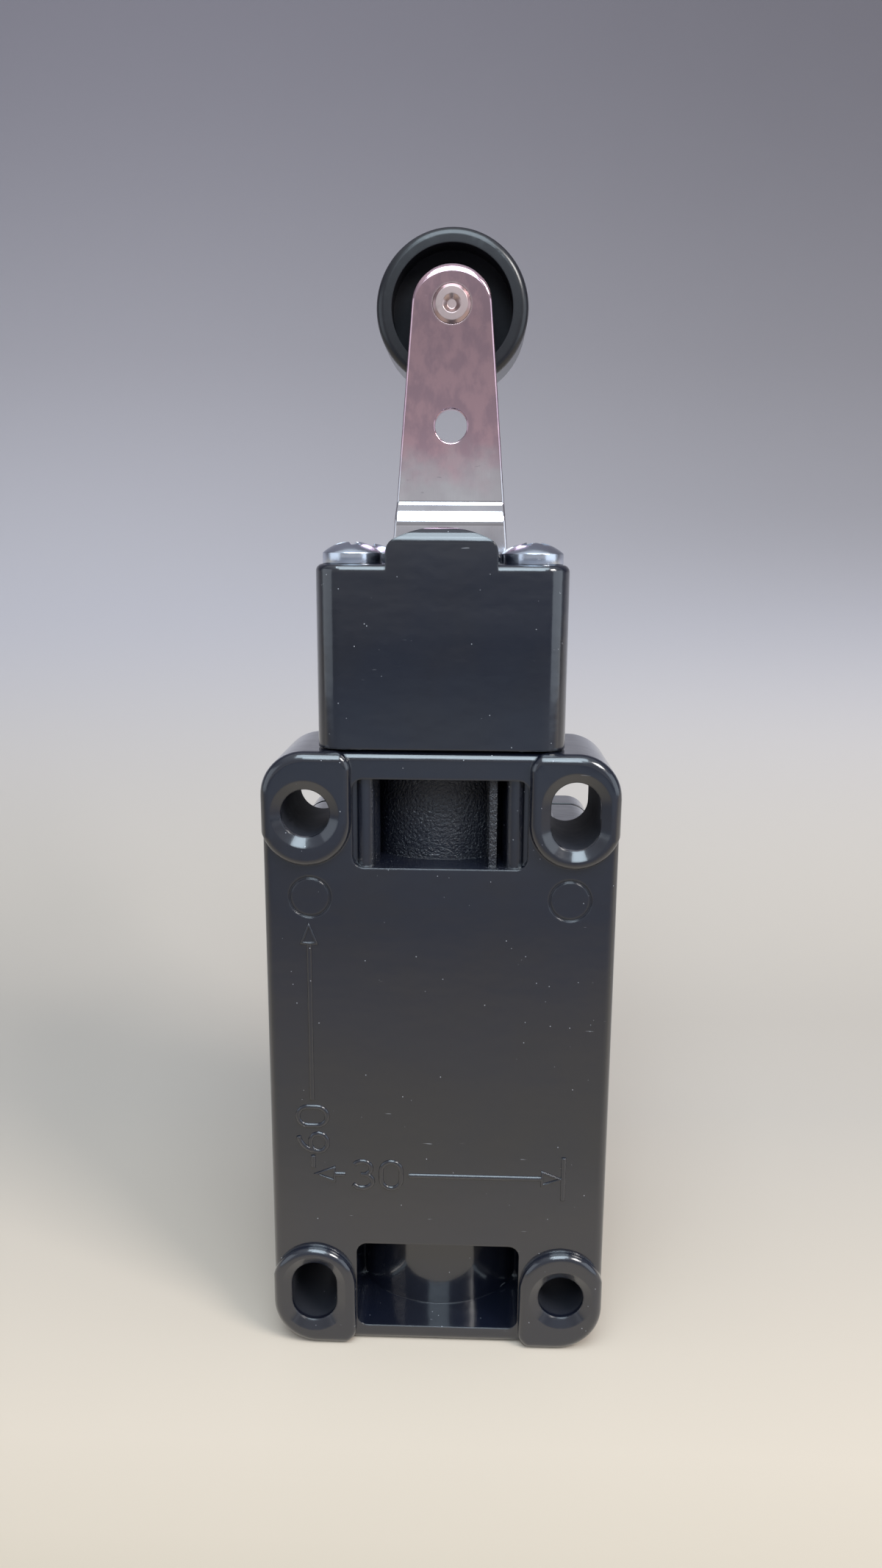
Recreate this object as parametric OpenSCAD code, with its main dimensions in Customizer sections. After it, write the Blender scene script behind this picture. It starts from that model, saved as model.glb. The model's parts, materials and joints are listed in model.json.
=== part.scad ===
// Roller lever limit switch with a die-cast body, a rotary head and a cranked lever.
// X runs across the body, Y from the mounting plane towards the cover, and Z upwards.
// The origin is the centre of the mounting hole pattern, on the mounting plane.

/* [Body] */
// Width of the body
body_w = 40; // [39:0.5:46]
// Height of the body
body_h = 74; // [72:0.5:82]
// Depth from the mounting plane to the rim under the cover
body_d = 33; // [31:0.5:40]
// Corner radius at the top of the body
body_top_r = 5; // [4:0.5:8]
// Corner radius at the foot of the body
body_foot_r = 5.5; // [3:0.5:7]
// Thickness of the side walls
wall_t = 2.6; // [2:0.1:3]
// Thickness of the back wall
back_t = 2.6; // [2:0.1:3.4]
// Depth of the back panel below the mounting pads
panel_recess = 1.1; // [0.6:0.1:1.8]
// Rounding of the edge round the back of the body
edge_r = 1.1; // [0.8:0.1:1.4]
// Corner radius of the front outline
front_r = 3; // [1.5:0.5:4]

/* [Mounting] */
// Spacing of the mounting holes across the body
hole_dx = 30; // [29:0.5:31]
// Spacing of the mounting holes up the body
hole_dz = 60; // [59:0.5:61]
// Diameter of the round holes and width of the slotted ones
hole_d = 5.5; // [4.5:0.1:6]
// Length of the slotted holes
slot_len = 7.8; // [6.5:0.1:8.5]
// Width of the chamfer round the mounting holes
hole_chamfer = 1.1; // [0.6:0.1:1.4]
// Depth of that chamfer
chamfer_h = 0.6; // [0.4:0.1:1]
// Width of the raised mounting pads
pad_w = 10.2; // [10.1:0.1:10.4]
// Reach of the pads past the hole centres, towards the middle of the body
pad_reach = 6; // [5.5:0.1:7]
// Rounding of the edges of the pads
pad_edge = 0.8; // [0.4:0.1:1]
// Radius of the inner corners of the pads
pad_r = 2; // [1.2:0.1:2.4]
// Thickness of the corner lugs that the mounting screws clamp
lug_d = 15; // [12:0.5:17]
// Radius of the recess for a screw head in front of each lug
recess_r = 4.4; // [4.2:0.1:4.6]
// Ledge between the recesses and the middle of the body
ledge_t = 1.6; // [1:0.1:2]

/* [Back pockets] */
// Width of the two cored pockets in the back
pocket_w = 19.7; // [18:0.1:19.7]
// Height of the upper pocket
upper_pocket_h = 10.2; // [8:0.1:11]
// Height of the lower pocket
lower_pocket_h = 11.3; // [8:0.1:11.5]
// Metal left above the upper pocket
upper_rim = 3.1; // [2.4:0.1:3.6]
// Metal left below the lower pocket
lower_rim = 2.1; // [1.6:0.1:3]
// Depth of the pockets
pocket_d = 12; // [9:0.5:13]
// Corner radius of the pockets
pocket_r = 1.3; // [0.4:0.1:2]
// Distance of the two ridges in the upper pocket from the middle
ridge_x = 8.4; // [7.6:0.1:8.6]
// Diameter of those ridges
ridge_d = 2; // [1.2:0.1:2.2]
// Depth of the ridges below the panel
ridge_sink = 0.5; // [0.3:0.1:1.2]
// Thickness of the web in the upper pocket
web_t = 0.9; // [0.6:0.1:1.4]
// Distance of that web from the middle
web_x = 5.9; // [4:0.1:6.2]
// Depth of the edge of that web below the panel
web_sink = 1; // [0.4:0.1:2]
// Outer diameter of the ring marks on the panel
mark_d = 4.9; // [4:0.1:6]
// Height of the ring marks over the middle of the body
mark_z = 20.2; // [17:0.1:21]
// Distance of the ring marks from the middle of the body
mark_x = 14.7; // [12:0.1:15.5]
// Width of their groove
mark_groove = 0.3; // [0.2:0.05:0.6]

/* [Cable entry] */
// Bore of the cable entry
entry_d = 18.5; // [16:0.1:18.8]
// Length of the bore
entry_len = 13; // [11:0.5:14]
// Wall round the bore
entry_wall = 2.4; // [1.8:0.1:3]
// Distance of the entry from the mounting plane
entry_y = 17; // [16:0.5:19]
// Diameter of the passage from the entry into the body
passage_d = 15; // [10:0.5:16]

/* [Cover] */
// Thickness of the cover
cover_t = 5; // [4:0.5:8]
// Thickness of the skin over the hollow of the cover
cover_skin = 2.4; // [1.8:0.1:2.8]
// Height of the lip that enters the body
lip_h = 2.6; // [1.5:0.1:4]
// Thickness of the lip
lip_t = 1.4; // [1:0.1:2]
// Thickness of the cover seal
seal_t = 1; // [0.6:0.1:1.6]
// Radius of the bosses for the cover screws
boss_r = 3.4; // [3:0.1:3.8]
// Distance of the bosses from the inner walls
boss_in = 2.6; // [2:0.1:3]
// Length of thread for the cover screws
thread_len = 9; // [6:0.5:12]

/* [Head] */
// Width and depth of the square head
head_w = 27.6; // [26.5:0.1:28.5]
// Height of the head up to the ledge for the screws
head_h = 20; // [19.5:0.1:24]
// Distance of the back of the head from the mounting plane
head_set = 1.15; // [0.6:0.05:2]
// Corner radius of the head
head_r = 3; // [1.5:0.1:3.2]
// Rounding of the edge round the top of the head
head_edge = 0.8; // [0.4:0.1:1.2]
// Width of the rib over the shaft
rib_w = 12; // [10:0.1:12.6]
// Height of the rib over the shaft axis
rib_r = 11.1; // [10.7:0.1:12.5]
// Rounding of the edges of the rib
rib_edge = 1.6; // [0.6:0.1:2.4]
// Rounding of the back end of the rib
rib_nose = 1.8; // [0.6:0.1:2.4]
// Height of the shaft axis over the foot of the head
shaft_rise = 12.8; // [12:0.1:13.4]
// Spacing of the head screws
screw_pitch = 19.8; // [19.4:0.1:20.4]
// Diameter of the round boss in front
snout_d = 21; // [18:0.1:22]
// Length of the round boss
snout_len = 4.65; // [3.5:0.05:7]
// Diameter of the spigot under the head
spigot_d = 16.4; // [15.6:0.1:17]
// Length of the spigot
spigot_len = 8; // [6:0.1:8.4]
// Bore of the spigot
spigot_bore = 12.4; // [11.8:0.1:12.8]
// Wall of the socket in the body
socket_wall = 1.75; // [1.2:0.05:1.8]
// Width of the ring seal round the spigot
ring_w = 2.6; // [2:0.1:3]
// Thickness of the ring seal
ring_t = 1.2; // [0.8:0.1:2]
// Joint between head and body
head_gap = 0.2; // [0.1:0.05:0.4]
// Room under the spigot
spigot_room = 0.6; // [0.3:0.1:1]
// Length of the head screws in the body
head_screw_bite = 3.6; // [2.5:0.1:3.7]
// Diameter of the bosses for the head screws
screw_boss_d = 5.8; // [5.2:0.1:6.4]
// Metal behind the shaft
head_back_t = 2.85; // [2:0.05:3.4]

/* [Shaft and tappet] */
// Diameter of the shaft
shaft_d = 10; // [9:0.1:10.4]
// Diameter of its rear journal
journal_d = 8; // [6:0.1:8.4]
// Travel of the tappet
stroke = 2.2; // [1.5:0.1:2.4]
// Outer diameter of the bush
bush_d = 14; // [13:0.1:14.4]
// Length of the bush
bush_len = 9.6; // [7:0.1:10.5]
// Length of the shaft seal
lip_seal_len = 3; // [2:0.1:3.4]
// Thickness of the retaining ring
clip_t = 0.8; // [0.6:0.1:1]
// Width of the retaining ring outside the shaft
clip_rim = 1.4; // [0.8:0.1:1.6]
// Diameter of the tip of the tappet
tip_d = 7.6; // [6:0.1:8]
// Diameter of the stem of the tappet
stem_d = 6; // [4:0.1:6.6]
// Thickness of the collar of the tappet
collar_t = 3.5; // [2:0.1:4]
// Length of the tip of the tappet
tip_len = 3.85; // [3:0.05:4]
// Depth of the groove for the retaining ring
groove_depth = 0.6; // [0.3:0.1:0.8]
// Depth of the flats that the lever sits on
seat_cut = 0.7; // [0.4:0.1:0.9]
// Depth of the shaft seal below the mouth of its bore
seal_sink = 0.4; // [0.1:0.1:1]

/* [Lever] */
// Length from the shaft to the roller
lever_len = 40.4; // [34:0.1:60]
// Thickness of the sheet
lever_t = 2; // [1.5:0.1:2.6]
// Radius of the end at the shaft
hub_r = 8.5; // [7:0.1:10]
// Radius of the end at the roller
tip_r = 5.3; // [4:0.05:6]
// Offset of the arm in front of the hub
crank = 1.6; // [1.2:0.1:3]
// Angle of the crank to the arm
crank_angle = 45; // [40:1:50]
// Middle radius of the two bends
bend_r = 1.8; // [1.4:0.1:2.4]
// Distance of the upper bend from the shaft
crank_end = 15.2; // [14.6:0.1:18]
// Diameter of the hole in the arm
arm_hole_d = 4.3; // [3:0.1:5]
// Distance of that hole from the shaft
arm_hole_at = 25.1; // [22:0.1:27]
// Gap between the snout of the head and the lever
lever_gap = 1; // [0.5:0.1:2]

/* [Roller] */
// Diameter of the roller
roller_d = 20.4; // [18.5:0.1:22]
// Width of the roller
roller_w = 11; // [9:0.5:13]
// Diameter of the recess in its faces
dish_d = 16.2; // [12:0.1:16.4]
// Depth of that recess
dish_depth = 4; // [2:0.1:4.2]
// Rounding of the edges of the roller
roller_edge = 1.1; // [0.5:0.1:1.4]
// Diameter of the pin in the roller
pin_d = 5.9; // [5.4:0.1:7]
// Diameter of the pin in the lever
rivet_d = 5; // [3.5:0.1:5.2]
// Diameter of the head of the pin
pin_head_d = 8.6; // [7.5:0.1:10]

/* [Contacts] */
// Width of the contact block
block_w = 30; // [29.4:0.1:30.6]
// Height of the contact block
block_h = 33; // [32.4:0.1:33.4]
// Width of the chamber
chamber_w = 16; // [15:0.1:16.4]
// Depth of the chamber
chamber_d = 12; // [11:0.1:12.6]
// Thickness of the walls over and under the chamber
block_wall = 3; // [2:0.1:3.4]
// Height of the posts under the block
post_h = 3; // [2:0.1:3.6]
// Thickness of the contact strips
strip_t = 1; // [0.6:0.1:1.2]
// Width of the contact bridge
bridge_w = 5; // [4:0.1:5.6]
// Diameter of the contact buttons
button_d = 2.6; // [1.8:0.1:3]
// Diameter of the plunger where it leaves the block
plunger_d = 4.8; // [3.6:0.1:5.4]
// Length of a terminal
terminal_h = 7; // [6.4:0.1:7.4]
// Width of a terminal
terminal_w = 5.6; // [5:0.1:5.8]
// Room over the block
block_room = 1.4; // [0.8:0.1:2]
// Distance of the contact bridge from the top of the block
bridge_drop = 15; // [14.6:0.1:15.4]
// Thickness of the terminal clamps
clamp_t = 1; // [0.6:0.1:1.4]
// Thread diameter of the screws that hold the block
base_screw_d = 2.5; // [2:0.1:2.6]
// Diameter of their heads
base_screw_head_d = 4.6; // [4:0.1:4.8]
// Height of the earth post over the mounting plane
earth_post = 12; // [11:0.5:16]

/* [Fasteners] */
// Thread diameter of the cover, head and terminal screws
screw_d = 3.5; // [3:0.1:3.6]
// Diameter of the screw heads
screw_head_d = 6.5; // [5.6:0.1:6.6]
// Height of the screw heads
screw_head_h = 2.4; // [1.8:0.1:3]
// Thread diameter of the lever nut
nut_thread = 6; // [5:0.1:6.2]
// Width across the flats of the lever nut
nut_flats = 10; // [8:0.1:11]
// Height of the lever nut
nut_h = 5; // [3:0.1:6]
// Thickness of the lock washer
lock_t = 1; // [0.6:0.1:1.6]

/* [Clearances] */
// Radial play of a running fit
running = 0.05; // [0.02:0.01:0.09]
// Radial play of a seated fit
seated = 0.03; // [0.01:0.01:0.06]
// Gap between pieces that slide past each other
free_gap = 0.2; // [0.1:0.05:0.3]
// End play of the shaft
end_play = 0.4; // [0.2:0.1:0.6]

/* [Hidden] */
$fn = 64;
eps = 0.01;
cut = 1;

// Finishes
cast_grey = [0.24, 0.24, 0.27];
zinc_blue = [0.72, 0.76, 0.82];
bright_steel = [0.74, 0.71, 0.72];
spring_steel = [0.6, 0.6, 0.62];
sinter_bronze = [0.55, 0.42, 0.28];
contact_brass = [0.8, 0.63, 0.32];
black_rubber = [0.06, 0.06, 0.06];
black_plastic = [0.09, 0.09, 0.1];
block_brown = [0.2, 0.13, 0.1];
plunger_white = [0.85, 0.84, 0.8];

// Body levels
body_top = body_h / 2;
middle_z = hole_dz / 2 - recess_r - ledge_t;
inner_x = body_w / 2 - wall_t;
inner_z = middle_z - wall_t;
inner_y = panel_recess + back_t;
boss_at = [inner_x - boss_in, inner_z - boss_in];
cover_back = body_d + seal_t;
cover_front = cover_back + cover_t;
upper_pocket_z = body_top - upper_rim - upper_pocket_h;
lower_pocket_z = -body_top + lower_rim;
passage_z = entry_len - body_top;
entry_out_d = entry_d + 2 * entry_wall;

// Head levels
head_y = head_set + head_w / 2;
head_front = head_set + head_w;
head_z = body_top + head_gap;
screw_ledge = head_z + head_h;
shaft_z = head_z + shaft_rise;
snout_y = head_front + snout_len;
socket_d = spigot_d + 2 * seated;
socket_out_d = socket_d + 2 * socket_wall;
socket_floor = head_z - spigot_len - spigot_room;
ring_in_d = spigot_d + 2 * free_gap;
ring_out_d = ring_in_d + 2 * ring_w;

// Shaft and tappet levels
axis = [0, shaft_z];
shaft_back = head_set + head_back_t + end_play;
chamber_back = head_y - spigot_bore / 2 + end_play;
bush_end = snout_y - seal_sink - lip_seal_len;
bush_start = bush_end - free_gap / 2 - bush_len;
clip_y = bush_start - free_gap / 2 - clip_t;
bush_bore_y = clip_y - end_play;
flat_half = tip_d / 2 + end_play;
flat_at = shaft_d / 2 - stroke;
clip_groove_d = shaft_d - 2 * groove_depth;
hub_y = snout_y + lever_gap;
seat_flats = journal_d - 2 * seat_cut;
tappet_top = shaft_z - shaft_d / 2 - free_gap;
collar_top = tappet_top - tip_len;
collar_foot = collar_top - collar_t;
collar_d = spigot_bore - 2 * running;

// Contact block levels
block_top = inner_z - block_room;
block_foot = block_top - block_h;
block_back = inner_y + post_h;
block_front = head_y + chamber_d / 2;
stem_end = block_top + stroke + 2 * free_gap;
plunger_top = stem_end - free_gap;
bridge_z = block_top - bridge_drop;
bridge_half = 0.5;
button_h = 0.7;
bridge_end = 0.8;
bridge_reach = chamber_w / 2 - bridge_end;
button_in = 1.5;
button_x = bridge_reach - button_in;
strip_in = button_x - button_in;
break_z = bridge_z + bridge_half + 2 * button_h + free_gap / 2;
make_z = bridge_z - bridge_half - 2 * button_h - free_gap / 2 - stroke;
chamber_wall = 1;
terminal_in = chamber_w / 2 + chamber_wall;
terminal_x = terminal_in + terminal_w / 2;
break_terminal_z = break_z + terminal_h / 2;
make_terminal_z = make_z - terminal_h / 2;
strip_half = 3;
frame_gap = 0.7;
frame_wall = 1.5;
frame_rise = 4.5;
window_drop = 4.6;
frame_x = strip_in - frame_gap;
frame_y = bridge_w / 2 + frame_wall;
frame_top = bridge_z + frame_rise;
window_foot = bridge_z - window_drop;
frame_foot = window_foot - frame_wall;
chamber_foot = block_foot + 2 * block_wall;
thread_deep = 7;
spring_turns = 5;
base_screw_step = 12;
base_screw_deep = 0.8;
base_screw_head_h = 2;
base_post_d = base_screw_head_d + 4 * free_gap;
base_post_x = block_w / 2 - base_post_d / 2;
base_screw_z = (break_z + make_z) / 2;
base_post_z = [base_screw_z, block_foot + base_post_d / 2];
base_notch = boss_at - (boss_r + 2 * free_gap) * [1, 1];
earth_x = 6;
earth_rise = 4.4;
earth_at = [-earth_x, earth_rise - inner_z];

// Lever and roller levels
arm_y = hub_y + crank;
roller_z = shaft_z + lever_len;
roller_axis = [0, roller_z];
washer_t = 0.4;
roller_back = arm_y + lever_t + washer_t + running;
roller_front = roller_back + roller_w;

// Extrudes an X-Z outline from y0 to y1.
module along_y(y0, y1) {
    translate([0, y1, 0]) rotate([90, 0, 0]) linear_extrude(y1 - y0) children();
}

// Extrudes a Y-Z outline from x0 to x1.
module along_x(x0, x1) {
    translate([x0, 0, 0]) rotate([90, 0, 90]) linear_extrude(x1 - x0) children();
}

// Round bar along Y at p = [x, z].
module bar_y(p, y0, y1, d) {
    translate([p[0], y0, p[1]]) rotate([-90, 0, 0]) cylinder(d = d, h = y1 - y0);
}

// Round bar along Z at p = [x, y].
module bar_z(p, z0, z1, d) {
    translate([p[0], p[1], z0]) cylinder(d = d, h = z1 - z0);
}

// Ring along Y at p = [x, z].
module ring_y(p, y0, y1, d_out, d_in) {
    difference() {
        bar_y(p, y0, y1, d_out);
        bar_y(p, y0 - cut, y1 + cut, d_in);
    }
}

// Box from its two corners.
module span(a, b) {
    translate(a) cube(b - a);
}

// Centred rectangle with round corners.
module round_rect(w, h, r) {
    square([w - 2 * r, h], center = true);
    square([w, h - 2 * r], center = true);
    for (sx = [-1, 1], sz = [-1, 1]) translate([sx * (w / 2 - r), sz * (h / 2 - r)]) circle(r);
}

// Copies its children to the four mounting hole places.
module at_holes() {
    for (sx = [-1, 1], sz = [-1, 1]) translate([sx * hole_dx / 2, sz * hole_dz / 2]) children();
}

// Copies its children to the four cover screw places, in the X-Z plane.
module at_bosses() {
    for (sx = [-1, 1], sz = [-1, 1]) translate([sx * boss_at[0], 0, sz * boss_at[1]]) children();
}

// Copies its children to the four head screw places, in the X-Y plane.
module at_head_screws() {
    for (sx = [-1, 1], sy = [-1, 1]) {
        translate([sx * screw_pitch / 2, head_y + sy * screw_pitch / 2, 0]) children();
    }
}

// Copies its children to the four terminals, with the height of each.
module at_terminals() {
    for (sx = [-1, 1], z = [break_terminal_z, make_terminal_z]) {
        translate([sx * terminal_x, 0, z]) children();
    }
}

// Pan head screw along Z, with its seat at zero and its shank below.
module pan_screw(shank_d, shank_len, head_d, head_h) {
    recess_w = 0.17 * head_d;
    recess_len = 0.55 * head_d;
    recess_h = 0.5 * head_h;
    dome = 0.75 * head_d;
    bar_z([0, 0], -shank_len, eps, shank_d);
    difference() {
        intersection() {
            cylinder(d = head_d, h = head_h);
            translate([0, 0, head_h - dome]) sphere(dome);
        }
        for (turn = [0, 90]) rotate(turn) {
            span([-recess_len / 2, -recess_w / 2, head_h - recess_h],
                 [recess_len / 2, recess_w / 2, head_h + cut]);
        }
    }
}

// The same screw along Y, with its head towards the cover, at p = [x, z].
module pan_screw_y(p, seat_y, shank_d, shank_len, head_d, head_h) {
    translate([p[0], seat_y, p[1]]) rotate([-90, 0, 0]) pan_screw(shank_d, shank_len, head_d, head_h);
}

// Points of one cross section of a coil, at a share t of its turns.
coil_sides = 8;
coil_steps = 14;
function coil_ring(r, wire, h, turns, t) =
    let (
        a = 360 * turns * t,
        rise = h / (2 * PI * r * turns),
        out = [cos(a), sin(a), 0],
        up = [sin(a) * rise, -cos(a) * rise, 1] / sqrt(1 + rise * rise)
    )
    [for (j = [0:coil_sides - 1]) let (b = 360 * j / coil_sides)
        r * out + [0, 0, h * t] + wire / 2 * (cos(b) * out + sin(b) * up)];

// Helical spring along Z that fills the height from z0 to z1.
module coil(p, z0, z1, r, wire, turns) {
    steps = coil_steps * turns;
    n = coil_sides;
    points = [for (i = [0:steps]) each coil_ring(r, wire, z1 - z0 - wire, turns, i / steps)];
    sides = [for (i = [0:steps - 1], j = [0:n - 1])
        [i * n + j, (i + 1) * n + j, (i + 1) * n + (j + 1) % n, i * n + (j + 1) % n]];
    ends = [[for (j = [0:n - 1]) j], [for (j = [n - 1:-1:0]) steps * n + j]];
    translate([p[0], p[1], z0 + wire / 2]) polyhedron(points, concat(sides, ends), convexity = 10);
}

// Rectangle from an axis out to a reach, between two levels, with the far corner at the soft level rounded.
module edge_profile(reach, soft, plain, r) {
    up = sign(plain - soft);
    translate([0, min(soft, plain)]) square([reach - r, abs(plain - soft)]);
    translate([0, min(soft + up * r, plain)]) square([reach, abs(plain - soft) - r]);
    translate([reach - r, soft + up * r]) circle(r);
}

// Slab with the outline of the body, from its rounded back edge at y0 to y1.
module body_slab(y0, y1) {
    top = [body_w / 2 - body_top_r, body_top - body_top_r];
    foot = [body_w / 2 - body_foot_r, body_foot_r - body_top];
    for (side = [0, 1]) mirror([side, 0, 0]) {
        translate([0, 0, foot[1]]) linear_extrude(top[1] - foot[1]) {
            edge_profile(body_w / 2, y0, y1, edge_r);
        }
        translate([top[0], 0, top[1]]) rotate([-90, 0, 0]) rotate_extrude() {
            edge_profile(body_top_r, y0, y1, edge_r);
        }
        translate([foot[0], 0, foot[1]]) rotate([-90, 0, 0]) rotate_extrude() {
            edge_profile(body_foot_r, y0, y1, edge_r);
        }
    }
    rotate([0, -90, 0]) linear_extrude(2 * top[0], center = true) edge_profile(body_top, y0, y1, edge_r);
    rotate([0, 90, 0]) linear_extrude(2 * foot[0], center = true) edge_profile(body_top, y0, y1, edge_r);
}

// Square block of the head, with round corners and a rounded top edge.
module head_block() {
    half = head_w / 2;
    for (turn = [0:90:270]) translate([0, head_y, 0]) rotate(turn) {
        translate([0, half - head_r, 0]) rotate([90, 0, 0]) linear_extrude(head_w - 2 * head_r) {
            edge_profile(half, screw_ledge, head_z, head_edge);
        }
        translate([half - head_r, half - head_r, 0]) rotate_extrude() {
            edge_profile(head_r, screw_ledge, head_z, head_edge);
        }
    }
}

// Outline of the rib over the shaft, about the shaft axis.
module rib_outline() {
    x = rib_w / 2 - rib_edge;
    z = sqrt(pow(rib_r - rib_edge, 2) - x * x);
    translate([-rib_w / 2, 0]) square([rib_w, z]);
    for (side = [-1, 1]) translate([side * x, z]) circle(rib_edge);
    intersection() {
        circle(rib_r);
        polygon([[0, 0], 2 * [x, z], 2 * [-x, z]]);
    }
}

// The rib over the shaft, rounded at its back end.
module rib() {
    crown = rib_r + seated;
    translate([0, 0, shaft_z]) intersection() {
        along_y(head_set - cut, head_front) rib_outline();
        rotate([0, -90, 0]) linear_extrude(2 * rib_w, center = true) {
            edge_profile(crown, head_set, head_front, rib_nose);
        }
    }
}

// Outline of the front half, with a recess for a screw head at each corner.
module front_outline(inset = 0) {
    difference() {
        union() {
            round_rect(body_w - 2 * inset, 2 * (middle_z - inset), front_r);
            round_rect(head_w - 2 * inset, body_h - 2 * inset, front_r);
        }
        at_holes() circle(recess_r + inset);
    }
}

// Outline of the hollow inside, which leaves a boss in each corner.
module hollow_outline(inset = 0) {
    difference() {
        square([2 * (inner_x - inset), 2 * (inner_z - inset)], center = true);
        for (sx = [-1, 1], sz = [-1, 1]) translate([sx * boss_at[0], sz * boss_at[1]]) {
            reach = boss_r + inset;
            circle(reach);
            mirror([sx < 0 ? 1 : 0, 0]) mirror([0, sz < 0 ? 1 : 0]) {
                translate([0, -reach]) square([boss_r, boss_r + reach]);
                translate([-reach, 0]) square([boss_r + reach, boss_r]);
            }
        }
    }
}

// Raised pad round the upper right mounting hole, with rounded edges towards the middle of the body.
module pad_block() {
    half = pad_w / 2;
    x = hole_dx / 2;
    z = hole_dz / 2 - pad_reach + half;
    corner = [x - half + pad_r, body_top - pad_r];
    translate([x, 0, z]) {
        rotate([-90, 0, 0]) rotate_extrude() edge_profile(half, 0, lug_d, pad_edge);
        mirror([1, 0, 0]) linear_extrude(corner[1] - z) edge_profile(half, 0, lug_d, pad_edge);
    }
    translate([corner[0], 0, corner[1]]) rotate([-90, 0, 0]) rotate_extrude() {
        edge_profile(pad_r, 0, lug_d, pad_edge);
    }
    span([x - eps, 0, z], [x + half, lug_d, body_h]);
    span([corner[0], 0, z], [x, lug_d, body_h]);
}

// Mounting hole along Y, slotted upwards by the given length, with a chamfered mouth at the back.
module mounting_hole(p, slot) {
    deep = chamfer_h + cut;
    wide = hole_d + 2 * hole_chamfer * deep / chamfer_h;
    for (end = slot > 0 ? [-1, 1] : [0]) {
        q = [p[0], p[1] + end * slot / 2];
        bar_y(q, -cut, lug_d + cut, hole_d);
        translate([q[0], -cut, q[1]]) rotate([-90, 0, 0]) cylinder(d1 = wide, d2 = hole_d, h = deep);
    }
    if (slot > 0) translate([p[0], -cut, p[1] - slot / 2]) linear_extrude(slot) {
        translate([-hole_d / 2, 0]) square([hole_d, lug_d + 2 * cut]);
        polygon([[-wide / 2, 0], [wide / 2, 0], [hole_d / 2, deep], [-hole_d / 2, deep]]);
    }
}

// Space cored out of the back behind the head socket.
module upper_pocket() {
    difference() {
        along_y(-cut, pocket_d) translate([0, upper_pocket_z + upper_pocket_h / 2]) {
            round_rect(pocket_w, upper_pocket_h, pocket_r);
        }
        bar_z([0, head_y], 0, body_h, socket_out_d);
        at_head_screws() bar_z([0, 0], 0, body_h, screw_boss_d);
        span([web_x - web_t / 2, panel_recess + web_sink, 0], [web_x + web_t / 2, body_d, body_h]);
        for (side = [-1, 1]) {
            bar_z([side * ridge_x, panel_recess + ridge_sink + ridge_d / 2], 0, body_h, ridge_d);
        }
    }
}

// Space cored out of the back behind the cable entry.
module lower_pocket() {
    difference() {
        along_y(-cut, pocket_d) translate([0, lower_pocket_z + lower_pocket_h / 2]) {
            round_rect(pocket_w, lower_pocket_h, pocket_r);
        }
        bar_z([0, entry_y], -body_h, 0, entry_out_d);
    }
}

module housing() color(cast_grey) {
    difference() {
        union() {
            body_slab(panel_recess, lug_d);
            intersection() {
                body_slab(0, lug_d);
                for (side = [0, 1], end = [0, 1]) mirror([side, 0, 0]) mirror([0, 0, end]) pad_block();
            }
            along_y(lug_d - eps, body_d) front_outline();
        }
        difference() {
            along_y(inner_y, body_d + cut) hollow_outline();
            for (sx = [-1, 1], z = base_post_z) bar_y([sx * base_post_x, z], 0, block_back, base_post_d);
            bar_y(earth_at, 0, earth_post, screw_head_d);
        }
        for (side = [-1, 1], end = [-1, 1]) {
            mounting_hole([side * hole_dx / 2, end * hole_dz / 2], side * end > 0 ? slot_len - hole_d : 0);
        }
        for (side = [-1, 1]) {
            ring_y([side * mark_x, mark_z], panel_recess - cut, panel_recess + mark_groove / 2, mark_d,
                   mark_d - 2 * mark_groove);
        }
        upper_pocket();
        lower_pocket();
        bar_z([0, head_y], socket_floor, body_top + cut, socket_d);
        bar_z([0, head_y], inner_z - cut, body_top, stem_d + 2 * running);
        at_head_screws() {
            bar_z([0, 0], body_top - head_screw_bite - free_gap, body_top + cut, screw_d + 2 * seated);
        }
        bar_z([0, entry_y], -body_top - cut, passage_z, entry_d);
        bar_z([0, entry_y], -body_top, -inner_z + cut, passage_d);
        at_bosses() bar_y([0, 0], body_d - thread_len, body_d + cut, screw_d + 2 * seated);
        for (sx = [-1, 1]) {
            bar_y([sx * base_post_x, base_screw_z], inner_y - base_screw_deep, block_back + cut,
                  base_screw_d + 2 * seated);
        }
        bar_y(earth_at, earth_post - thread_deep, earth_post + cut, screw_d + 2 * seated);
    }
}

module front_cover() color(cast_grey) {
    head_sink = screw_head_h + free_gap;
    difference() {
        union() {
            along_y(cover_back, cover_front) front_outline();
            along_y(cover_back - lip_h - seal_t, cover_back + eps) hollow_outline(free_gap);
        }
        along_y(cover_back - lip_h - seal_t - cut, cover_front - cover_skin) {
            hollow_outline(free_gap + lip_t);
        }
        at_bosses() {
            bar_y([0, 0], cover_back - cut, cover_front + cut, screw_d + 2 * free_gap);
            bar_y([0, 0], cover_front - head_sink, cover_front + cut, screw_head_d + 2 * free_gap);
        }
    }
}

module cover_gasket() color(black_rubber) {
    difference() {
        along_y(body_d, cover_back) front_outline(2 * free_gap);
        along_y(body_d - cut, cover_back + cut) hollow_outline();
        at_bosses() bar_y([0, 0], body_d - cut, cover_back + cut, screw_d + 2 * free_gap);
    }
}

module cover_screws() color(zinc_blue) {
    seat = cover_front - screw_head_h - free_gap;
    shank = seat - body_d + thread_len - end_play;
    at_bosses() pan_screw_y([0, 0], seat, screw_d, shank, screw_head_d, screw_head_h);
}

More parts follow.
